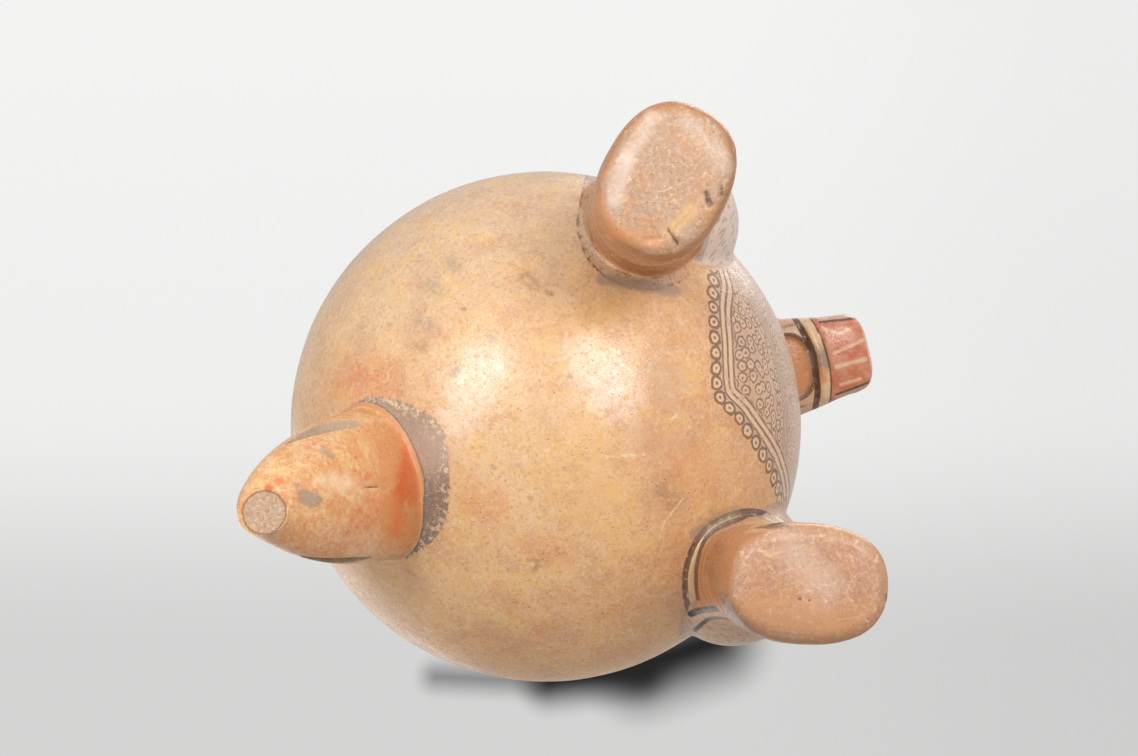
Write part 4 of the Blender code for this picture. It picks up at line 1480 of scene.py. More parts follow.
@dataclass
class Painter:
    """Lays one colour over another."""

    graph: Graph
    colour: Wire

    def lay(self, mask: Wire, colour: Wire, strength: float = 1.0) -> None:
        """Covers what a mask shows, from 0 to 1, with a colour."""
        self.colour = self.graph.blend(mask if strength == 1.0 else mask * strength, self.colour, colour)

    def finish(
        self, surface: bpy.types.Node, grain: dict[str, Signal], roughness: float, bump: float,
        dull: Wire = 0.0
    ) -> None:
        """Links the colour, the roughness and the grain's height to a surface.

        Args:
            surface: The Principled BSDF.
            grain: The outputs of the grain group.
            roughness: How rough the clay is between its flecks.
            bump: How strongly the grain stands out.
            dull: How much rougher some places are.
        """
        graph = self.graph
        graph.feed(surface.inputs["Base Color"], self.colour)
        rough = grain["Mottle"] * 0.14 + grain["Flecks"] * 0.16 + grain["Scratches"] * 0.12
        graph.feed(surface.inputs["Roughness"], rough + (roughness - 0.1) + dull)
        relief = graph.node("ShaderNodeBump",
                            {"Strength": bump, "Distance": 0.0006, "Height": grain["Height"]})
        graph.feed(surface.inputs["Normal"], relief)


@dataclass(frozen=True)
class Slips:
    """The potter's colours, with a painted highlight colour and a pale that is partly painted sheen."""

    honey: Colour = earth(214, 173, 126)
    ochre: Colour = earth(192, 138, 90)
    pale: Colour = earth(216, 184, 150)
    yellow: Colour = earth(216, 172, 108)
    pink: Colour = earth(200, 150, 122)
    orange: Colour = earth(202, 134, 82)
    grey_tan: Colour = earth(190, 164, 140)
    brown: Colour = earth(150, 102, 66)
    dark: Colour = earth(84, 58, 46)
    blue_grey: Colour = earth(96, 84, 84)
    cream: Colour = earth(226, 200, 166)
    # a painted highlight: the lamps' glare on the burnished clay, laid as colour
    highlight_white: Colour = earth(240, 224, 214)
    red: Colour = earth(186, 96, 66)
    flame: Colour = earth(200, 90, 40)
    mauve: Colour = earth(182, 156, 142)
    # pale grey-white: dust-like bare clay on the tail's tip, and a painted sheen on the bib and thighs
    dust_and_sheen: Colour = earth(216, 199, 189)
    umber: Colour = earth(104, 74, 58)
    sole: Colour = earth(178, 146, 120)
    rose: Colour = earth(184, 134, 108)
    soot: Colour = earth(148, 128, 112)
    black: Colour = earth(44, 30, 24)


@dataclass
class PaintedClay:
    """The vessel's burnished and painted clay."""

    effects: Effects
    axis: Vector
    head: Head
    slips: Slips = field(default_factory=Slips)
    roughness: float = 0.29
    bump: float = 0.36
    burnish: float = 1.58

    def material(self, finish: Finish) -> bpy.types.Material:
        """The material of one painted part, from the ground up."""
        material, graph, surface = new_material(f"painted_{finish.name.lower()}")
        self.graph = graph
        whole = graph.out(graph.node("ShaderNodeTexCoord"), "Object")
        self.place = graph.vector("SUBTRACT", whole, tuple(self.axis))
        self.left, self.back, self.up = graph.split(self.place)
        self.front = -self.back
        self.plan = graph.join(self.left, self.front, 0.0)
        self.climb, self.outside, _ = graph.split(graph.attribute("skin"))
        self.along, self.across, _ = graph.split(graph.attribute("bib"))
        self.tail, self.shaft, self.thigh = graph.split(graph.attribute("roots"))
        self.face, self.haunch, self.limb = graph.split(graph.attribute("forms"))
        self.tail_edge, self.foot_ring, self.collar = graph.split(graph.attribute("marks"))
        self.right_sole, self.left_sole, _ = graph.split(graph.attribute("soles"))
        self.turn = graph.math("ARCTAN2", self.left, self.front) * BELT_RADIUS
        self.grain = graph.use(self.effects.grain, Vector=self.place)
        self.painter = Painter(graph, self.slips.honey)
        self.worn: Wire = 0.0
        layers = {
            Finish.BELLY: (self.stains, self.root_lines, self.tail_ring),
            Finish.BIB: (self.bib, self.root_lines),
            Finish.UPPER: (self.bands,), Finish.LEG: (self.legs, self.root_lines, self.soles),
            Finish.TAIL: (self.tail_foot, self.tail_ring), Finish.HEAD: (self.jaw_paint, self.face_paint),
            Finish.FORELIMB: (self.forelimbs,)}
        for layer in (self.ground, *layers[finish], self.age):
            layer()
        surface.inputs["IOR"].default_value = self.burnish
        self.painter.finish(surface, self.grain, self.roughness, self.bump, self.worn)
        return material

    # -------- helpers
    def line(self, where: Signal, at: Wire, half: float, wobble: float = 0.0005,
             wear: float = 0.28) -> Signal:
        """A hand-painted line where a field has one value."""
        return self.graph.use(self.effects.line, Field=where, Place=at, Half_Width=half, Vector=self.place,
                              Wobble=wobble, Wear=wear)["Mask"]

    def stroke(self, start: tuple, end: tuple, half: float, soft: float = 0.0004, ragged: float = 0.0006,
               where: Signal | None = None) -> Signal:
        """A soft-edged stroke between two points."""
        return self.graph.use(self.effects.stroke, Vector=where or self.plan, Start=start, End=end,
                              Half_Width=half, Softness=soft, Ragged=ragged)["Mask"]

    def pattern(self, group: Group, across: Wire, along: Wire, size: Wire, **more: Wire) -> dict[str, Signal]:
        """A pattern that is laid out in two flat directions."""
        return self.graph.use(group, Across=across, Along=along, Size=size, Vector=self.place, **more)

    def dab(self, shown: Signal, rows: Iterable[Dab], where: Signal | None = None) -> None:
        """Lays dabs of paint one after another.

        Args:
            shown: Where any of them may show, from 0 to 1.
            rows: The dabs.
            where: The flat place that they are laid out in, if it isn't the vessel's plan.
        """
        for *sizes, colour, strength in rows:
            left, front, left_end, front_end, half, soft, ragged = (MM * size for size in sizes)
            dab = self.stroke((left, front, 0.0), (left_end, front_end, 0.0), half, soft, ragged, where)
            self.painter.lay(dab * shown, colour, strength)

    def patches(self, scale: float, detail: float, rough: float, low: float, high: float) -> Signal:
        """Soft patches: 0 where a noise is at low or less, 1 where it is at high or more."""
        return self.graph.smooth(self.graph.noise(self.place, scale, detail, rough), low, high)

    def within(self, value: Signal, low: float, high: float, soft: float = 0.0004) -> Signal:
        """1 where a number lies between two values."""
        graph = self.graph
        return graph.smooth(value, low - soft, low + soft) * graph.smooth(value, high + soft, high - soft)

    # -------- layers
    def ground(self) -> None:
        """The honey-coloured ground, cloudy and mottled, with warmer and greyer sides."""
        graph, lay, slips, grain = self.graph, self.painter.lay, self.slips, self.grain
        lay(grain["Cloud"], slips.ochre, 0.52)
        lay(graph.smooth(self.front, -0.01, 0.085), slips.orange, 0.42)
        lay(graph.smooth(self.left, -0.035, -0.105), slips.grey_tan, 0.62)
        lay(graph.smooth(self.left, 0.025, 0.105), slips.orange, 0.4)
        lay(graph.smooth(self.tail, 0.034, 0.006) * graph.smooth(self.left, 0.03, -0.02), slips.orange, 0.35)
        lay(self.patches(60.0, 6.0, 0.72, 0.51, 0.59), slips.yellow, 0.6)
        lay(grain["Mottle"], slips.pale, 0.4)
        lay(self.patches(42.0, 6.0, 0.7, 0.53, 0.62), slips.rose, 0.36)
        lay(grain["Flecks"], slips.brown, 0.4)
        lay(self.patches(560.0, 4.0, 0.8, 0.54, 0.62), slips.cream, 0.42)

    def stains(self) -> None:
        """Stains, smoke clouds and worn places under the belly, two painted highlights and a painted glint.
        """
        slips = self.slips
        broken = self.patches(300.0, 5.0, 0.78, 0.36, 0.56)
        self.dab(broken * self.graph.smooth(self.climb, 0.15, 0.135), (
            (40.2, 44.0, 38.0, 40.0, 8.0, 7.0, 6.0, slips.brown, 0.38),
            (12.1, 47.1, 18.0, 48.0, 11.0, 9.0, 6.0, slips.rose, 0.5),
            (-5.7, 55.3, -12.0, 52.0, 8.0, 7.0, 6.0, slips.sole, 0.5),
            (33.9, 15.4, 26.0, 8.0, 13.0, 12.0, 7.0, slips.yellow, 0.4),
            (-39.0, 16.0, -39.0, 36.0, 12.0, 11.0, 7.0, slips.yellow, 0.38),
            (21.2, -34.5, 26.0, -28.0, 6.5, 6.0, 8.0, slips.flame, 0.34),
            (45.8, -18.1, 52.0, -6.0, 5.0, 5.0, 8.0, slips.flame, 0.3),
            # painted highlights: the softboxes' glare on the burnished belly
            (-33.0, -16.7, -11.9, -35.2, 9.5, 5.0, 8.0, slips.highlight_white, 0.3),
            (-26.3, 24.9, -4.4, 34.1, 9.5, 5.0, 8.0, slips.highlight_white, 0.32),
            # a painted glint of glare, in cream
            (-5.5, 23.2, -4.0, 23.6, 3.0, 2.0, 2.0, slips.cream, 0.45),
            (-65.0, 9.0, -61.2, 11.2, 3.0, 1.6, 1.2, slips.brown, 0.55),
            (-56.5, 16.0, -55.0, 18.2, 1.0, 0.8, 1.2, slips.dark, 0.55),
            (-80.1, -20.4, -78.0, -19.0, 2.8, 2.6, 1.2, slips.soot, 0.55),
            (-71.6, -30.9, -69.0, -29.0, 3.4, 3.0, 1.2, slips.soot, 0.55),
            (-58.3, -39.9, -56.0, -37.0, 3.6, 3.0, 1.2, slips.soot, 0.5),
            (-48.1, -41.8, -47.0, -40.0, 2.6, 2.2, 1.2, slips.brown, 0.45),
            (-35.9, -29.3, -33.0, -30.0, 2.4, 1.6, 1.2, slips.soot, 0.6),
            (-44.8, -11.6, -43.0, -11.0, 1.8, 1.6, 1.2, slips.soot, 0.45),
            (-60.9, -52.6, -60.5, -52.4, 1.0, 0.7, 1.2, slips.brown, 0.7),
            (-58.5, -19.7, -58.3, -19.5, 0.9, 0.7, 1.2, slips.brown, 0.6),
            (-19.4, 16.5, -19.0, 17.0, 0.9, 0.7, 1.2, slips.brown, 0.6),
            (9.2, -24.4, 9.5, -24.0, 1.2, 0.9, 1.2, slips.soot, 0.6),
            (11.1, -13.6, 11.3, -13.4, 1.1, 0.8, 1.2, slips.soot, 0.55),
            (17.7, 4.5, 18.0, 5.0, 1.2, 0.8, 1.2, slips.soot, 0.5),
            (25.7, -12.8, 26.2, -12.0, 1.0, 0.8, 1.2, slips.brown, 0.5),
            (54.0, -19.1, 54.2, -19.0, 3.4, 0.9, 0.6, slips.brown, 0.45),
            (53.4, -20.0, 53.8, -19.2, 1.0, 0.7, 0.4, slips.cream, 0.7),
            (39.6, 42.6, 43.0, 46.0, 3.8, 2.6, 1.2, slips.soot, 0.45),
            (-40.5, -76.0, -40.5, -64.0, 8.0, 8.0, 6.0, slips.flame, 0.46),
            (30.0, 54.0, 35.0, 60.0, 9.0, 8.0, 6.0, slips.orange, 0.45),
            (6.0, 15.0, 13.0, 19.0, 7.0, 6.0, 4.0, slips.yellow, 0.4),
            (43.4, 49.6, 50.9, 39.6, 0.4, 0.3, 0.5, slips.cream, 0.75),
            (50.9, 39.6, 57.1, 35.8, 0.3, 0.3, 0.5, slips.cream, 0.65),
            (9.3, 52.4, 8.4, 55.8, 0.5, 0.3, 0.4, slips.cream, 0.8),
            (17.1, 22.0, 20.5, 38.0, 0.4, 0.4, 1.4, slips.cream, 0.7),
        ))

    def bib_ground(self) -> Signal:
        """The bib's greyer ground, partly a painted sheen, and where the bib may be."""
        graph, lay = self.graph, self.painter.lay
        front = graph.smooth(self.front, 0.015, 0.022) * graph.smooth(self.climb, 0.235, 0.228)
        inside = graph.smooth(self.across, -0.0004, 0.0004) * front
        lay(inside, self.slips.mauve, 0.5)
        rise = graph.smooth(self.climb, 0.105, 0.165) * graph.smooth(self.climb, 0.225, 0.17)
        # painted sheen: pale grey-white up the bib, where the burnished clay turns away
        lay(inside * rise, self.slips.dust_and_sheen, 0.6)
        return front

    def bib(self) -> None:
        """The painted bib under the head: a string of eyelets, double lines and netted spots."""
        graph, lay, slips = self.graph, self.painter.lay, self.slips
        front = self.bib_ground()
        eyelets = graph.use(self.effects.eyelets, Along=self.along, Across=self.across, Vector=self.place)
        lay(eyelets["Pale"] * front, slips.pale, 0.65)
        lay(eyelets["Dark"] * front, slips.umber, 0.82)
        for at, half, colour, share in (
            (0.0041, 0.0006, slips.umber, 0.75), (0.0056, 0.001, slips.pale, 0.7),
            (0.0073, 0.0006, slips.umber, 0.8),
            (0.009, 0.0009, slips.pale, 0.7), (0.0107, 0.0006, slips.umber, 0.75)):
            lay(self.line(self.across, at, half, 0.0009, 0.36) * front, colour, share)
        inner = graph.smooth(self.across, 0.0113, 0.0119) * front
        rising = self.climb + self.turn * 0.05
        size = 0.0056 - graph.smooth(self.climb, 0.105, 0.165) * 0.0012
        spots = self.pattern(self.effects.spots, self.turn, self.climb, size,
                             Ring=graph.smooth(rising, 0.17, 0.125))
        clear = 1.0 - self.within(rising, 0.1278, 0.1345)
        lay(spots["Pale"] * inner * clear, slips.pale, 0.4)
        lay(spots["Dark"] * inner * clear, slips.umber, 0.72)
        for at in spread(0.1285, 0.1339, 4):
            lay(self.line(rising, at, 0.0004) * inner, slips.umber, 0.6)

    def bands(self) -> None:
        """The plainer painted bands of the shoulder and the neck, and the red rim."""
        graph, lay, slips = self.graph, self.painter.lay, self.slips
        wall = graph.smooth(self.outside, 0.004, 0.0025) * graph.smooth(self.climb, 0.2, 0.21)
        wall = wall * graph.smooth(self.face, 0.0, 0.001) * graph.smooth(self.limb, 0.0, 0.001)
        for at, half in ((0.244, 0.0009), (0.2475, 0.0006), (0.273, 0.0006), (0.2765, 0.0011),
                         (0.305, 0.0011), (0.309, 0.0006), (0.344, 0.0006), (0.348, 0.0011)):
            lay(self.line(self.climb, at, half) * wall, slips.dark, 0.84)
        row = graph.use(self.effects.eyelets, Along=self.turn, Across=self.climb - 0.2602, Spacing=0.0165,
                        Radius=0.0072, Vector=self.place)
        lay(row["Pale"] * wall, slips.pink, 0.6)
        lay(row["Dark"] * wall, slips.dark, 0.82)
        neck = self.within(self.climb, 0.31, 0.343) * wall
        spots = self.pattern(self.effects.spots, self.turn * 0.95, self.climb, 0.0135, Ring=0.0)
        lay(neck, slips.pale, 0.45)
        lay(spots["Pale"] * neck, slips.orange, 0.65)
        lay(spots["Dark"] * neck, slips.dark, 0.8)
        rim = graph.smooth(self.up, 0.3255, 0.3265) * graph.smooth(self.outside, -0.0045, -0.0035)
        lay(rim, slips.red, 0.85)

    def legs(self) -> None:
        """The shafts of the front feet, the spotted thighs, and the lines round their roots."""
        graph, lay, slips = self.graph, self.painter.lay, self.slips
        self.bib_ground()
        low = graph.smooth(self.up, 0.12, 0.112)
        left, right = graph.smooth(self.left, 0.0, 0.001), graph.smooth(self.left, 0.0, -0.001)
        shaft = graph.smooth(self.shaft, 0.0006, -0.0006) * low
        shaft = shaft * graph.math("MAXIMUM", right, graph.smooth(self.foot_ring, -0.0038, -0.005))
        turned = graph.noise(graph.vector("MULTIPLY", self.place, (16.0, 16.0, 330.0)), 1.0, 3.0, 0.6)
        lay(shaft, slips.orange, 0.75)
        lay(shaft * self.grain["Cloud"], slips.brown, 0.25)
        lay(shaft * graph.smooth(turned, 0.5, 0.62), slips.brown, 0.42)
        # painted shade: a soft brown band low on the shafts, just above the soles
        lay(shaft * self.within(self.up, 0.006, 0.015, 0.003), slips.brown, 0.35)
        thigh = graph.smooth(self.thigh, 0.0012, -0.0012) * graph.smooth(self.haunch, 0.003, 0.0004)
        # pale grey-white over the thighs, partly a painted sheen
        lay(thigh, slips.dust_and_sheen, 0.8)
        outer = left * graph.smooth(self.thigh, 0.009, 0.0065) * graph.smooth(self.haunch, 0.0098, 0.008)
        lay(outer, slips.sole, 0.8)
        dashes = self.pattern(self.effects.dashes, self.turn, self.up, 0.0018)["Mask"]
        hatched = graph.math("MAXIMUM", thigh * graph.smooth(self.thigh, -0.0045, -0.0055), outer)
        lay(dashes * hatched, slips.umber, 0.36)
        near = graph.smooth(graph.math("MINIMUM", self.haunch, self.shaft), 0.0014, 0.0002)
        lay(self.line(self.thigh, -0.0024, 0.0019) * near * right, slips.blue_grey, 0.38)
        self.dab(self.within(self.up, 0.052, 0.114, 0.006), (
            (95.5, 41.5, 91.9, 50.8, 1.7, 0.4, 0.7, slips.black, 0.96),
            (91.9, 50.8, 87.2, 63.5, 1.5, 0.4, 0.7, slips.black, 0.96),
            (104.0, 41.4, 97.9, 49.3, 1.0, 0.4, 0.7, slips.black, 0.96),
            (97.9, 49.3, 95.7, 62.5, 1.0, 0.4, 0.7, slips.black, 0.96),
        ))

    def root_lines(self) -> None:
        """The rings painted round the left foot's root, and the crease and the collar at the right foot's."""
        graph, lay, slips = self.graph, self.painter.lay, self.slips
        left, right = graph.smooth(self.left, 0.0, 0.001), graph.smooth(self.left, 0.0, -0.001)
        rings = left * graph.smooth(self.haunch, 0.0002, 0.0014) * graph.smooth(self.shaft, 0.03, 0.026)
        lay(self.line(self.foot_ring, -0.0034, 0.0019) * rings, slips.pale, 0.55)
        lay(self.line(self.foot_ring, -0.0014, 0.0013, wear=0.34) * rings, slips.dark, 0.88)
        drawn_in = graph.smooth(self.front, 0.044, 0.056) * 0.0019
        drawn_in = drawn_in + graph.smooth(self.front, 0.068, 0.092) * 0.003
        lay(self.line(self.foot_ring, drawn_in - 0.0058, 0.0008, wear=0.34) * rings, slips.dark, 0.86)
        self.dab(rings, ((56.0, 70.0, 60.0, 52.0, 3.0, 2.0, 3.0, slips.soot, 0.55),))
        near = right * graph.smooth(self.shaft, 0.028, 0.024) * graph.smooth(self.front, 0.08, 0.07)
        roll = self.within(self.collar, 0.0006, 0.0048, 0.0006) * near
        lay(roll, slips.sole, 0.6)
        lay(roll * self.grain["Flecks"], slips.dark, 0.6)
        lay(self.line(self.collar, 0.0003, 0.0006, wear=0.44) * near, slips.dark, 0.7)
        lay(self.line(self.collar, 0.0052, 0.0005, wear=0.5) * near, slips.dark, 0.55)
        self.dab(near, ((-56.0, 40.0, -43.0, 70.0, 2.4, 1.4, 1.4, slips.soot, 0.75),))

    def soles(self) -> None:
        """The worn bare soles of the feet, painted highlights on them, and painted shade by the left sole."""
        graph, lay, slips = self.graph, self.painter.lay, self.slips
        flat, edge = graph.smooth(self.up, 0.0042, 0.0022), graph.smooth(self.up, 0.01, 0.004)
        drift = (graph.noise(self.place, 120.0, 5.0, 0.75) - 0.5) * 0.24
        inner_right = flat * graph.smooth(self.right_sole + drift, 0.95, 0.82)
        inner_left = flat * graph.smooth(self.left_sole + drift, 1.02, 0.86)
        soles = ((inner_right, (slips.sole, 0.92), (slips.brown, 0.24), (slips.mauve, 0.44), 0.5, 0.36),
                 (inner_left, (slips.rose, 0.92), (slips.brown, 0.32), (slips.sole, 0.45), 0.3, 0.32))
        self.worn = graph.math("MAXIMUM", inner_right, inner_left) * 0.16
        patches = self.patches(110.0, 6.0, 0.75, 0.44, 0.6)
        grit = self.patches(520.0, 4.0, 0.78, 0.49, 0.6)
        rims = graph.math("MAXIMUM", self.within(self.right_sole, 0.8, 1.1, 0.05),
                          self.within(self.left_sole, 0.88, 1.12, 0.05))
        lay(rims * edge, slips.brown, 0.5)
        stained = self.patches(75.0, 5.0, 0.7, 0.48, 0.58)
        for sole, bare, shade, patch, stain, gritty in soles:
            lay(sole, *bare)
            lay(sole, *shade)
            lay(sole * patches, *patch)
            lay(sole * stained, slips.ochre, stain)
            lay(sole * grit, slips.pale, gritty)
        lay(flat * self.patches(210.0, 5.0, 0.8, 0.57, 0.62), slips.cream, 0.4)
        dark_grit = self.patches(430.0, 4.0, 0.78, 0.55, 0.63)
        lay((inner_right + inner_left) * dark_grit, slips.brown, 0.48)
        lay(self.line(self.right_sole, 0.93, 0.014, 0.05, 0.46) * edge, slips.brown, 0.5)
        self.dab(edge, (
            # painted highlights: glare along the right sole's rounded edges
            (-111.3, 75.0, -97.0, 61.0, 2.6, 2.2, 2.08, slips.highlight_white, 0.3),
            (-97.0, 61.0, -83.1, 52.0, 2.8, 2.2, 2.24, slips.highlight_white, 0.34),
            (-105.5, 87.6, -84.3, 99.0, 3.0, 3.0, 2.4, slips.highlight_white, 0.18),
            (-84.0, 44.0, -70.0, 48.0, 3.0, 1.6, 2.4, slips.orange, 0.55),
            (-70.0, 48.0, -62.5, 64.0, 3.0, 1.6, 2.4, slips.orange, 0.6),
            (-65.0, 70.0, -71.0, 80.0, 2.6, 2.0, 2.08, slips.yellow, 0.5),
            (-76.4, 88.0, -72.2, 88.4, 0.9, 0.6, 0.72, slips.umber, 0.85),
            (-73.0, 87.9, -71.6, 88.4, 1.4, 0.6, 1.12, slips.umber, 0.8),
            (-76.0, 94.4, -74.2, 93.8, 0.7, 0.4, 0.56, slips.umber, 0.8),
            (-65.7, 69.5, -60.0, 71.6, 0.3, 0.2, 0.24, slips.umber, 0.85),
            (-60.0, 71.6, -59.4, 71.6, 0.6, 0.4, 0.48, slips.umber, 0.8),
            (90.0, 64.0, 106.0, 98.0, 6.0, 6.0, 4.8, slips.ochre, 0.75),
            (96.0, 64.0, 108.0, 96.0, 7.0, 6.0, 5.6, slips.umber, 0.24),
            # a painted highlight on the left sole
            (68.2, 83.7, 89.4, 93.8, 6.0, 6.0, 4.8, slips.highlight_white, 0.2),
            (90.2, 82.5, 90.3, 82.6, 0.6, 0.3, 0.48, slips.dark, 0.7),
            (91.6, 86.2, 91.7, 86.4, 0.4, 0.3, 0.32, slips.dark, 0.6),
            (67.3, 72.4, 70.6, 75.7, 0.6, 0.5, 0.48, slips.yellow, 0.55),
            (70.6, 75.7, 70.1, 79.9, 0.5, 0.5, 0.4, slips.yellow, 0.5),
        ))
        # painted shade: a darker band down the left foot's shaft beside its sole, and umber over its lit
        # lower rim
        for top, rows in (
            (0.06, ((64.9, 58.7, 74.3, 52.7, 2.3, 2.4, 1.8, slips.brown, 0.55),)),
            (0.048, ((74.3, 52.7, 83.9, 52.4, 2.3, 2.4, 1.8, slips.brown, 0.55),)),
            (0.016, ((83.9, 52.4, 88.5, 54.5, 2.3, 2.4, 1.8, slips.umber, 0.75),
                     (88.5, 54.5, 102.0, 60.5, 2.3, 2.4, 1.8, slips.umber, 0.75))),
        ):
            self.dab(graph.smooth(self.up, top, top - 0.005), rows)

    def tail_ring(self) -> None:
        """The sooty worn ring round the tail's root, with a painted sheen across its middle."""
        graph, lay, slips = self.graph, self.painter.lay, self.slips
        ragged = (graph.noise(self.place, 330.0, 5.0, 0.8) - 0.5) * 0.0085
        lapped = graph.smooth(self.left, 0.02, 0.004) * 0.0024
        low, outside = graph.smooth(self.up, 0.11, 0.1), graph.smooth(self.tail, -0.0003, 0.0001)
        overlap = graph.smooth(self.tail - lapped + ragged * 0.12, 0.0002, -0.0002) * low
        ring_shown = graph.smooth(self.tail_edge + ragged, 0.0006, -0.0006) * outside * low
        self.worn = ring_shown * 0.15
        speckle = self.patches(700.0, 4.0, 0.78, 0.52, 0.62)
        lay(ring_shown, slips.soot, 0.92)
        middle = graph.smooth(self.left, -0.022, -0.008) * graph.smooth(self.left, 0.008, -0.004)
        # a mauve painted sheen across the ring's middle
        lay(ring_shown * middle, slips.mauve, 0.55)
        lay(ring_shown * graph.smooth(self.left, 0.002, 0.016), slips.blue_grey, 0.62)
        rim = ring_shown * graph.smooth(self.tail_edge, -0.008, -0.001)
        lay(rim * self.patches(330.0, 4.0, 0.74, 0.51, 0.57), slips.cream, 0.75)
        lay(ring_shown * self.grain["Cloud"], slips.brown, 0.22)
        lay(ring_shown * speckle, slips.pale, 0.34)
        lay(self.line(self.tail - lapped, 0.0006, 0.0005, wear=0.3) * ring_shown, slips.dark, 0.45)
        lay(overlap * outside, slips.orange, 0.86)

    def tail_foot(self) -> None:
        """The tail: cream and orange with a flame at its base, and a bare tip."""
        graph, lay, slips = self.graph, self.painter.lay, self.slips
        cone = graph.smooth(self.tail, 0.0002, -0.0005)
        speckle = self.patches(600.0, 4.0, 0.78, 0.49, 0.6)
        lay(cone, slips.yellow, 0.4)
        lay(cone * graph.smooth(self.left, 0.004, 0.02), slips.pink, 0.45)
        lay(cone * self.grain["Mottle"], slips.cream, 0.2)
        lay(cone * self.patches(100.0, 6.0, 0.76, 0.46, 0.58), slips.orange, 0.66)
        lay(cone * self.patches(290.0, 4.0, 0.7, 0.51, 0.58), slips.orange, 0.45)
        lay(cone * self.patches(230.0, 5.0, 0.74, 0.55, 0.62), slips.flame, 0.4)
        lay(cone * self.patches(480.0, 4.0, 0.75, 0.54, 0.61), slips.cream, 0.38)
        self.dab(cone * graph.smooth(self.up, 0.078, 0.068), (
            (-12.0, -63.0, 26.0, -68.0, 8.0, 4.0, 7.2, slips.orange, 0.75),
            (-6.0, -57.2, 25.0, -62.2, 4.4, 3.0, 3.96, slips.orange, 0.7),
            (-5.4, -59.0, 9.5, -64.5, 2.2, 2.2, 1.98, slips.flame, 0.72),
            (9.5, -64.5, 24.9, -70.0, 2.6, 2.6, 2.34, slips.flame, 0.52),
            (11.0, -72.0, 18.0, -84.0, 5.0, 6.0, 4.5, slips.flame, 0.26),
            (2.0, -58.5, 13.0, -61.0, 3.6, 2.6, 3.24, slips.flame, 0.55),
            (-15.0, -59.0, -6.0, -57.2, 1.2, 1.2, 1.08, slips.flame, 0.6),
            (3.5, -83.0, -1.0, -74.0, 1.1, 1.0, 0.99, slips.flame, 0.55),
            (0.5, -99.0, 2.4, -96.2, 3.0, 1.0, 2.7, slips.soot, 0.75),
            (-5.5, -101.0, -2.0, -100.0, 1.0, 1.0, 0.9, slips.soot, 0.55),
            (-16.0, -89.0, -13.0, -86.0, 1.3, 0.8, 1.17, slips.soot, 0.55),
            (-6.9, -111.4, -6.6, -111.0, 1.6, 0.8, 1.44, slips.flame, 0.8),
            (-9.5, -108.0, -8.5, -106.0, 0.9, 0.8, 0.81, slips.flame, 0.5),
            (3.2, -76.8, 4.6, -72.4, 0.3, 0.3, 0.27, slips.dark, 0.85),
            (-4.0, -90.0, 2.0, -80.0, 3.0, 3.0, 2.7, slips.cream, 0.4),
        ))
        for side in Side:
            ends = (side.value * 0.026, 0.104, 0.027), (side.value * 0.031, 0.078, 0.051)
            lip = self.stroke(*ends, 0.0012, 0.001, where=self.place)
            lay(lip * cone, slips.flame, 0.65)
        low = graph.smooth(self.up, 0.004, 0.0026)
        ends = (0.0018, -0.1152, 0.0), (0.0022, -0.1158, 0.0)
        tip = self.stroke(*ends, 0.008, 0.0003, 0.0008) * low
        lay(tip, slips.sole, 0.9)
        lay(tip * speckle, slips.dust_and_sheen, 0.45)
        lay(tip * self.patches(380.0, 5.0, 0.8, 0.52, 0.62), slips.brown, 0.45)
        lay(self.stroke(*ends, 0.0088, 0.0004, 0.0008) * low - tip, slips.umber, 0.7)

    def forelimbs(self) -> None:
        """The spotted forelimbs, with painted bracelets and red paws."""
        graph, lay, slips = self.graph, self.painter.lay, self.slips
        limb = graph.smooth(self.limb, 0.0008, -0.0004) * graph.smooth(self.face, 0.0, 0.001)
        spots = self.pattern(self.effects.spots, self.turn, self.up, 0.0095, Ring=0.0)
        lay(limb, slips.orange, 0.6)
        lay(spots["Pale"] * limb, slips.pink, 0.6)
        lay(spots["Dark"] * limb, slips.dark, 0.8)
        side = graph.math("ABSOLUTE", self.turn)
        paw = limb * graph.smooth(self.up, 0.206, 0.204) * graph.smooth(side, 0.05, 0.0495)
        lay(paw, slips.red, 0.8)
        for at in (0.0505, 0.0535):
            lay(self.line(side, at, 0.0008) * limb * graph.smooth(self.up, 0.212, 0.208), slips.dark, 0.85)
        lay(self.line(self.limb, 0.001, 0.0007) * graph.smooth(self.up, 0.172, 0.18), slips.dark, 0.75)

    def on_head(self) -> tuple[Signal, Signal]:
        """How far to the cat's left and how far out along the head."""
        angle = math.radians(self.head.turn)
        out = self.left * math.sin(angle) + self.front * math.cos(angle)
        return self.left * math.cos(angle) - self.front * math.sin(angle), out

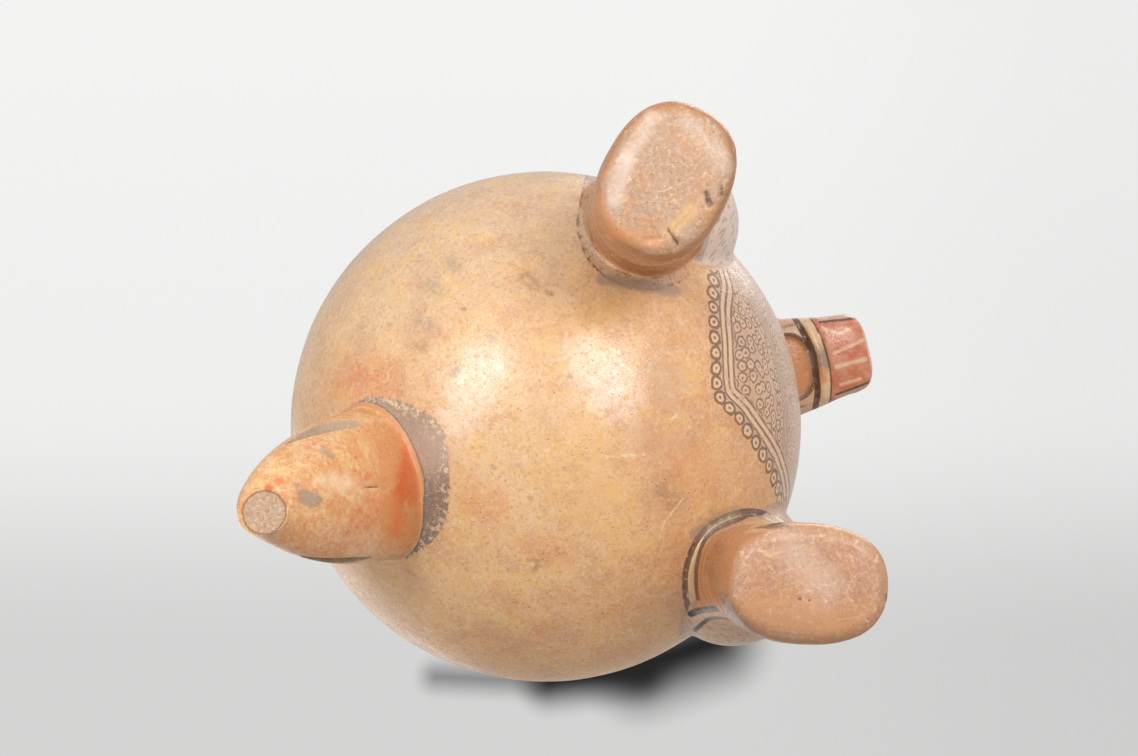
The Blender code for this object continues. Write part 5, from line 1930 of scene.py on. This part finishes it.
    def jaw_paint(self) -> None:
        """The underside of the head: a red striped chin and a brown throat."""
        graph, lay, slips = self.graph, self.painter.lay, self.slips
        side, out = self.on_head()
        spot = graph.join(side, out, 0.0)
        wide, head = graph.math("ABSOLUTE", side), graph.smooth(self.face, 0.001, -0.001)
        lay(head, slips.orange, 0.55)
        lay(head * self.grain["Mottle"], slips.pale, 0.35)
        jaw = head * graph.smooth(self.up, 0.2095, 0.2085)
        bow = out + side * side * self.head.chin_bow
        powers = [graph.math("POWER", graph.math("MAXIMUM", value, 0.0) / size, self.head.throat_power)
                  for value, size in zip((wide, out - self.head.throat_back), self.head.throat_half)]
        panel = powers[0] + powers[1]
        lay(jaw * graph.smooth(wide, 0.015, 0.0165), slips.grey_tan, 0.7)
        throat = jaw * graph.smooth(out, 0.1325, 0.1315)
        lay(throat * graph.smooth(panel, 1.05, 0.9), slips.brown, 0.8)
        lay(throat * graph.smooth(panel, 0.85, 0.55), slips.orange, 0.7)
        lay(throat * self.line(panel, 1.1, 0.16, 0.05, 0.2), slips.dark, 0.85)
        edge = jaw * graph.smooth(out, 0.1395, 0.1385)
        lay(edge * self.line(wide, 0.0196, 0.0007, wear=0.4), slips.umber, 0.55)
        roll = jaw * self.within(bow, 0.133, 0.1392, 0.0003)
        lay(roll, slips.pale, 0.6)
        lay(roll * self.within(side, -0.006, 0.006, 0.004), slips.blue_grey, 0.62)
        self.dab(roll, ((4.5, 135.0, 10.0, 135.0, 1.4, 0.6, 0.6, slips.orange, 0.85),), spot)
        lay(self.line(bow, 0.1324, 0.0016, 0.001, 0.2) * jaw, slips.dark, 0.9)
        lay(self.line(bow, 0.1393, 0.0005, 0.0003, 0.2) * jaw, slips.dark, 0.85)
        chin = jaw * graph.smooth(bow, 0.1395, 0.1401)
        lay(chin, slips.red, 0.82)
        lay(chin * self.grain["Mottle"], slips.pink, 0.45)
        self.dab(chin, (
            (-1.8, 143.0, -4.7, 158.0, 0.84, 0.7, 0.7, slips.cream, 0.58),
            (4.8, 142.5, 4.5, 157.0, 0.96, 0.7, 0.7, slips.cream, 0.58),
            (13.7, 142.5, 13.2, 152.5, 0.72, 0.7, 0.7, slips.cream, 0.58),
            (-15.2, 140.0, -10.4, 147.0, 0.72, 0.7, 0.7, slips.cream, 0.58),
            (-10.4, 147.0, -11.0, 153.0, 0.6, 0.7, 0.7, slips.cream, 0.58),
        ), spot)
        lay(chin * graph.smooth(out, 0.1585, 0.1597), slips.cream, 0.7)
        tapered, lips = wide + (out - 0.14) * 0.12, jaw * graph.smooth(out, 0.1385, 0.1395)
        lay(lips * graph.smooth(tapered, 0.0178, 0.0184), slips.grey_tan, 0.85)
        lay(lips * self.line(tapered, 0.0179, 0.0006, 0.0003), slips.dark, 0.85)

    def face_paint(self) -> None:
        """The face above the mouth: ringed eyes, red ears, dark lips and whisker dots."""
        graph, lay, slips = self.graph, self.painter.lay, self.slips
        side, out = self.on_head()
        wide, head = graph.math("ABSOLUTE", side), graph.smooth(self.face, 0.001, -0.001)
        top = head * graph.smooth(self.up, 0.2095, 0.2105)
        before = graph.smooth(out, 0.118, 0.121)
        lay(self.line(self.up - (out - 0.124) * 0.02, 0.2245, 0.0014, 0.0004, 0.1) * top * before, slips.red,
            0.85)
        lay(self.line(self.up, 0.2095, 0.0012, 0.0004, 0.1) * head * before, slips.red, 0.85)
        lip = top * graph.smooth(out, 0.112, 0.116)
        lay(lip * self.line(self.up, 0.2268, 0.0006, 0.0004, 0.1), slips.dark, 0.85)
        lens = graph.join(side, out, self.up)
        for mirror in Side:
            eye = (mirror.value * self.head.eye[1], self.head.eye[0], self.head.eye[2])
            lay(self.stroke(eye, eye, 0.0105, 0.0004, 0.0004, lens) * head, slips.dark, 0.85)
            lay(self.stroke(eye, eye, 0.0092, 0.0004, 0.0004, lens) * head, slips.cream, 0.9)
            outer = (mirror.value * (self.head.eye[1] + 0.0036), self.head.eye[0] + 0.0052,
                     self.head.eye[2] + 0.0036)
            lay(self.stroke(outer, outer, 0.0034, 0.0003, 0.0003, lens) * head, slips.dark, 0.95)
            ear = (mirror.value * self.head.ear[1], self.head.ear[0] + 0.006, self.head.ear[2] + 0.004)
            lay(self.stroke(ear, ear, 0.007, 0.0006, 0.0004, lens) * head, slips.red, 0.8)
            for out_step, lift in ((0.0, 0.0), (0.0045, 0.0025), (0.0045, -0.0025), (0.009, 0.0)):
                dot = (mirror.value * 0.0185, 0.139 + out_step, 0.23 + lift)
                lay(self.stroke(dot, dot, 0.0011, 0.0003, 0.0002, lens) * head, slips.dark, 0.9)
        nose = (0.0, self.head.nose[0] + 0.004, self.head.nose[2])
        lay(self.stroke(nose, nose, 0.0072, 0.0005, 0.0004, lens) * head, slips.dark, 0.85)
        brow = top * graph.smooth(self.up, 0.2545, 0.2555) * graph.smooth(wide, 0.008, 0.0075)
        bars = self.line(graph.math("PINGPONG", out, 0.006), 0.003, 0.0007, 0.0004, 0.1)
        lay(brow * bars, slips.dark, 0.75)

    def age(self) -> None:
        """Specks, scratches and rubbed places over everything."""
        grain, lay, slips = self.grain, self.painter.lay, self.slips
        lay(grain["Specks"], slips.umber, 0.5)
        lay(grain["Scratches"], slips.cream, 0.42)
        lay(self.patches(210.0, 4.0, 0.7, 0.6, 0.7), slips.cream, 0.22)


# ---------------- studio
@dataclass(frozen=True)
class Softbox:
    """A large soft lamp."""

    name: str
    place: tuple[float, float, float]
    size: float
    power: float
    colour: tuple[float, float, float] = (1.0, 0.98, 0.95)


@dataclass
class Studio:
    """The camera, the lamps, the pale floor and the pale surroundings."""

    axis: Vector
    shadow: Group
    distance: float = 1.1
    lens: float = 75.22
    aim: tuple = (-0.01874, -0.01597, 0.15)  # from the foot of the jar's axis
    right_way: tuple = (0.256, -0.966)  # the view's right-hand way over the floor
    lamps: tuple = (
        Softbox("soft_left", (-0.64, 0.46, -1.05), 0.38, 7.0),
        Softbox("soft_right", (-0.4, -0.66, -1.0), 0.38, 7.6),
        Softbox("overhead_key", (-1.0, -1.1, 1.5), 1.1, 10.0),
        Softbox("overhead_fill", (0.5, 1.2, 1.6), 1.3, 4.5))

    def camera(self) -> None:
        """A long lens that looks up at the vessel's underside."""
        data = bpy.data.cameras.new("camera")
        data.sensor_width, data.lens, data.clip_start = 36.0, self.lens, 0.01
        camera = add_object("camera", data)
        right = Vector((*self.right_way, 0.0)).normalized()
        up = UPWARDS.cross(-right)
        turn = Matrix((right, up, right.cross(up))).transposed().to_4x4()
        place = self.axis + Vector(self.aim) - UPWARDS * self.distance
        camera.matrix_world = Matrix.Translation(place) @ turn
        bpy.context.scene.camera = camera

    def light(self) -> None:
        """The lamps."""
        for box in self.lamps:
            data = bpy.data.lights.new(box.name, "AREA")
            data.shape, data.size, data.energy, data.color = "SQUARE", box.size, box.power, box.colour
            lamp = add_object(box.name, data)
            lamp.location = box.place
            lamp.rotation_euler = (Vector((0.0, 0.0, 0.12)) - lamp.location).to_track_quat("-Z",
                                                                                           "Y").to_euler()
            lamp.visible_camera = False

    def build(self) -> None:
        """Sets up everything round the vessel."""
        for part in (self.camera, self.light, self.surroundings, self.floor):
            part()
        bpy.context.scene.view_settings.view_transform = "Standard"

    def surroundings(self) -> None:
        """Pale light from all round, stronger from the cat's right, and a backdrop with a painted shadow."""
        world = bpy.data.worlds.new("surroundings")
        world.use_nodes = True
        graph = Graph(world.node_tree)
        toward = graph.out(graph.node("ShaderNodeTexCoord"), "Generated")
        x, y, z = graph.split(toward)
        light = graph.mix(graph.smooth(x, 0.9, -0.6), 0.52, 0.9)
        light = graph.mix(graph.smooth(z, -0.2, 0.6), light, 0.62)
        # backdrop straight above, seen from below: pale, with a painted table's shade and the vessel's
        # painted shadow
        reach = graph.math("MAXIMUM", z, 0.2)
        over, ahead = self.right_way
        down, right = (y * over - x * ahead) / reach, (x * over + y * ahead) / reach
        shade = graph.mix(graph.smooth(down, -0.16, 0.01), 0.9, 0.865)
        shade = graph.mix(graph.smooth(down, 0.005, 0.115), shade, 0.66)
        shade = graph.mix(graph.smooth(right, 0.05, 0.24) * 0.5, shade, shade * 0.88)
        for start, end, half, soft, deep in (
            ((-0.056, 0.1255), (-0.014, 0.1275), 0.0045, 0.0065, 0.25),
            ((-0.008, 0.127), (0.03, 0.1225), 0.009, 0.009, 0.02),
            ((0.03, 0.1215), (0.061, 0.1105), 0.015, 0.015, 0.02)):
            stroke = graph.use(self.shadow, Vector=graph.join(right, down, 0.0), Start=(*start, 0.0),
                               End=(*end, 0.0), Half_Width=half, Softness=soft, Ragged=0.0)["Mask"]
            shade = graph.mix(stroke, shade, deep)
        seen = graph.out(graph.node("ShaderNodeLightPath"), "Is Camera Ray")
        backdrop = graph.mix(graph.smooth(z, 0.8, 0.95), 0.8, shade)
        strength = graph.mix(seen, light, backdrop)
        warm = graph.smooth(x, -0.2, 0.8) * (1.0 - seen)
        tint = graph.blend(warm, (1.0, 0.995, 0.99, 1.0), (1.0, 0.9, 0.8, 1.0))
        graph.feed(graph.tree.nodes["Background"].inputs["Color"], tint)
        graph.feed(graph.tree.nodes["Background"].inputs["Strength"], strength)
        bpy.context.scene.world = world

    def floor(self) -> None:
        """A pale floor that is seen from above and clear from below."""
        mesh = with_bmesh("floor", lambda working: bmesh.ops.create_grid(working, x_segments=1, y_segments=1,
                                                                         size=14.0))
        material, graph, surface = new_material("floor")
        surface.inputs["Base Color"].default_value = earth(226, 225, 224)
        surface.inputs["Roughness"].default_value = 0.7
        below = graph.node("ShaderNodeNewGeometry")
        clear = graph.node("ShaderNodeBsdfTransparent")
        mixed = graph.node("ShaderNodeMixShader", {0: graph.out(below, "Backfacing"), 1: surface,
                                                   2: clear})
        graph.feed(graph.tree.nodes["Material Output"].inputs["Surface"], mixed)
        mesh.materials.append(material)
        floor = add_object("floor", mesh)
        floor.visible_diffuse = floor.visible_glossy = floor.visible_shadow = False


# ---------------- the scene
def clay_materials(effects: Effects, axis: Vector, head: Head) -> list[bpy.types.Material]:
    """The vessel's materials, in the order of their finishes."""
    painted = PaintedClay(effects, axis, head)
    bare = PlainClay("bare_clay", earth(190, 164, 138), earth(156, 126, 100), earth(220, 198, 172), 0.72, 0.5)
    cream = PlainClay("cream_slip", earth(228, 206, 172), earth(206, 170, 128), earth(160, 120, 84), 0.42,
                      0.3)
    return [painted.material(finish) for finish in Finish if finish.value < Finish.BARE.value] + [
        bare.material(effects), cream.material(effects)]


def jar_axis() -> Vector:
    """The jar's upright axis, from the middle of the opening into its body."""
    openings = frame["record"]["physics"]["openings"]
    body = next(opening for opening in openings if opening["name"] == "body_interior")
    low, high = body["box_m"]
    return Vector((0.5 * (low[0] + high[0]), 0.5 * (low[1] + high[1]), 0.0))


def main() -> None:
    """Builds the vessel and its studio."""
    logging.basicConfig(level=logging.INFO, format="%(message)s")
    axis, head, effects = jar_axis(), Head(), Effects()
    vessel = Vessel(
        jar=Jar(height=cad_bounds[1].z - cad_bounds[0].z),
        right=Foot(Side.RIGHT, (-49.1, 0.1129), (-50.0, 0.0985), (0.0262, 0.0328), -48.0, -45.5),
        left=Foot(Side.LEFT, (44.5, 0.1226), (51.5, 0.105), (0.0248, 0.0331), 18.0, 52.0),
        tail=TailFoot(),
        head=head,
        forelimbs=(Forelimb(Side.RIGHT), Forelimb(Side.LEFT)),
        axis=axis,
        materials=clay_materials(effects, axis, head),
    )
    vessel.build()
    Studio(axis, effects.stroke).build()


if __name__ == "__main__":
    main()
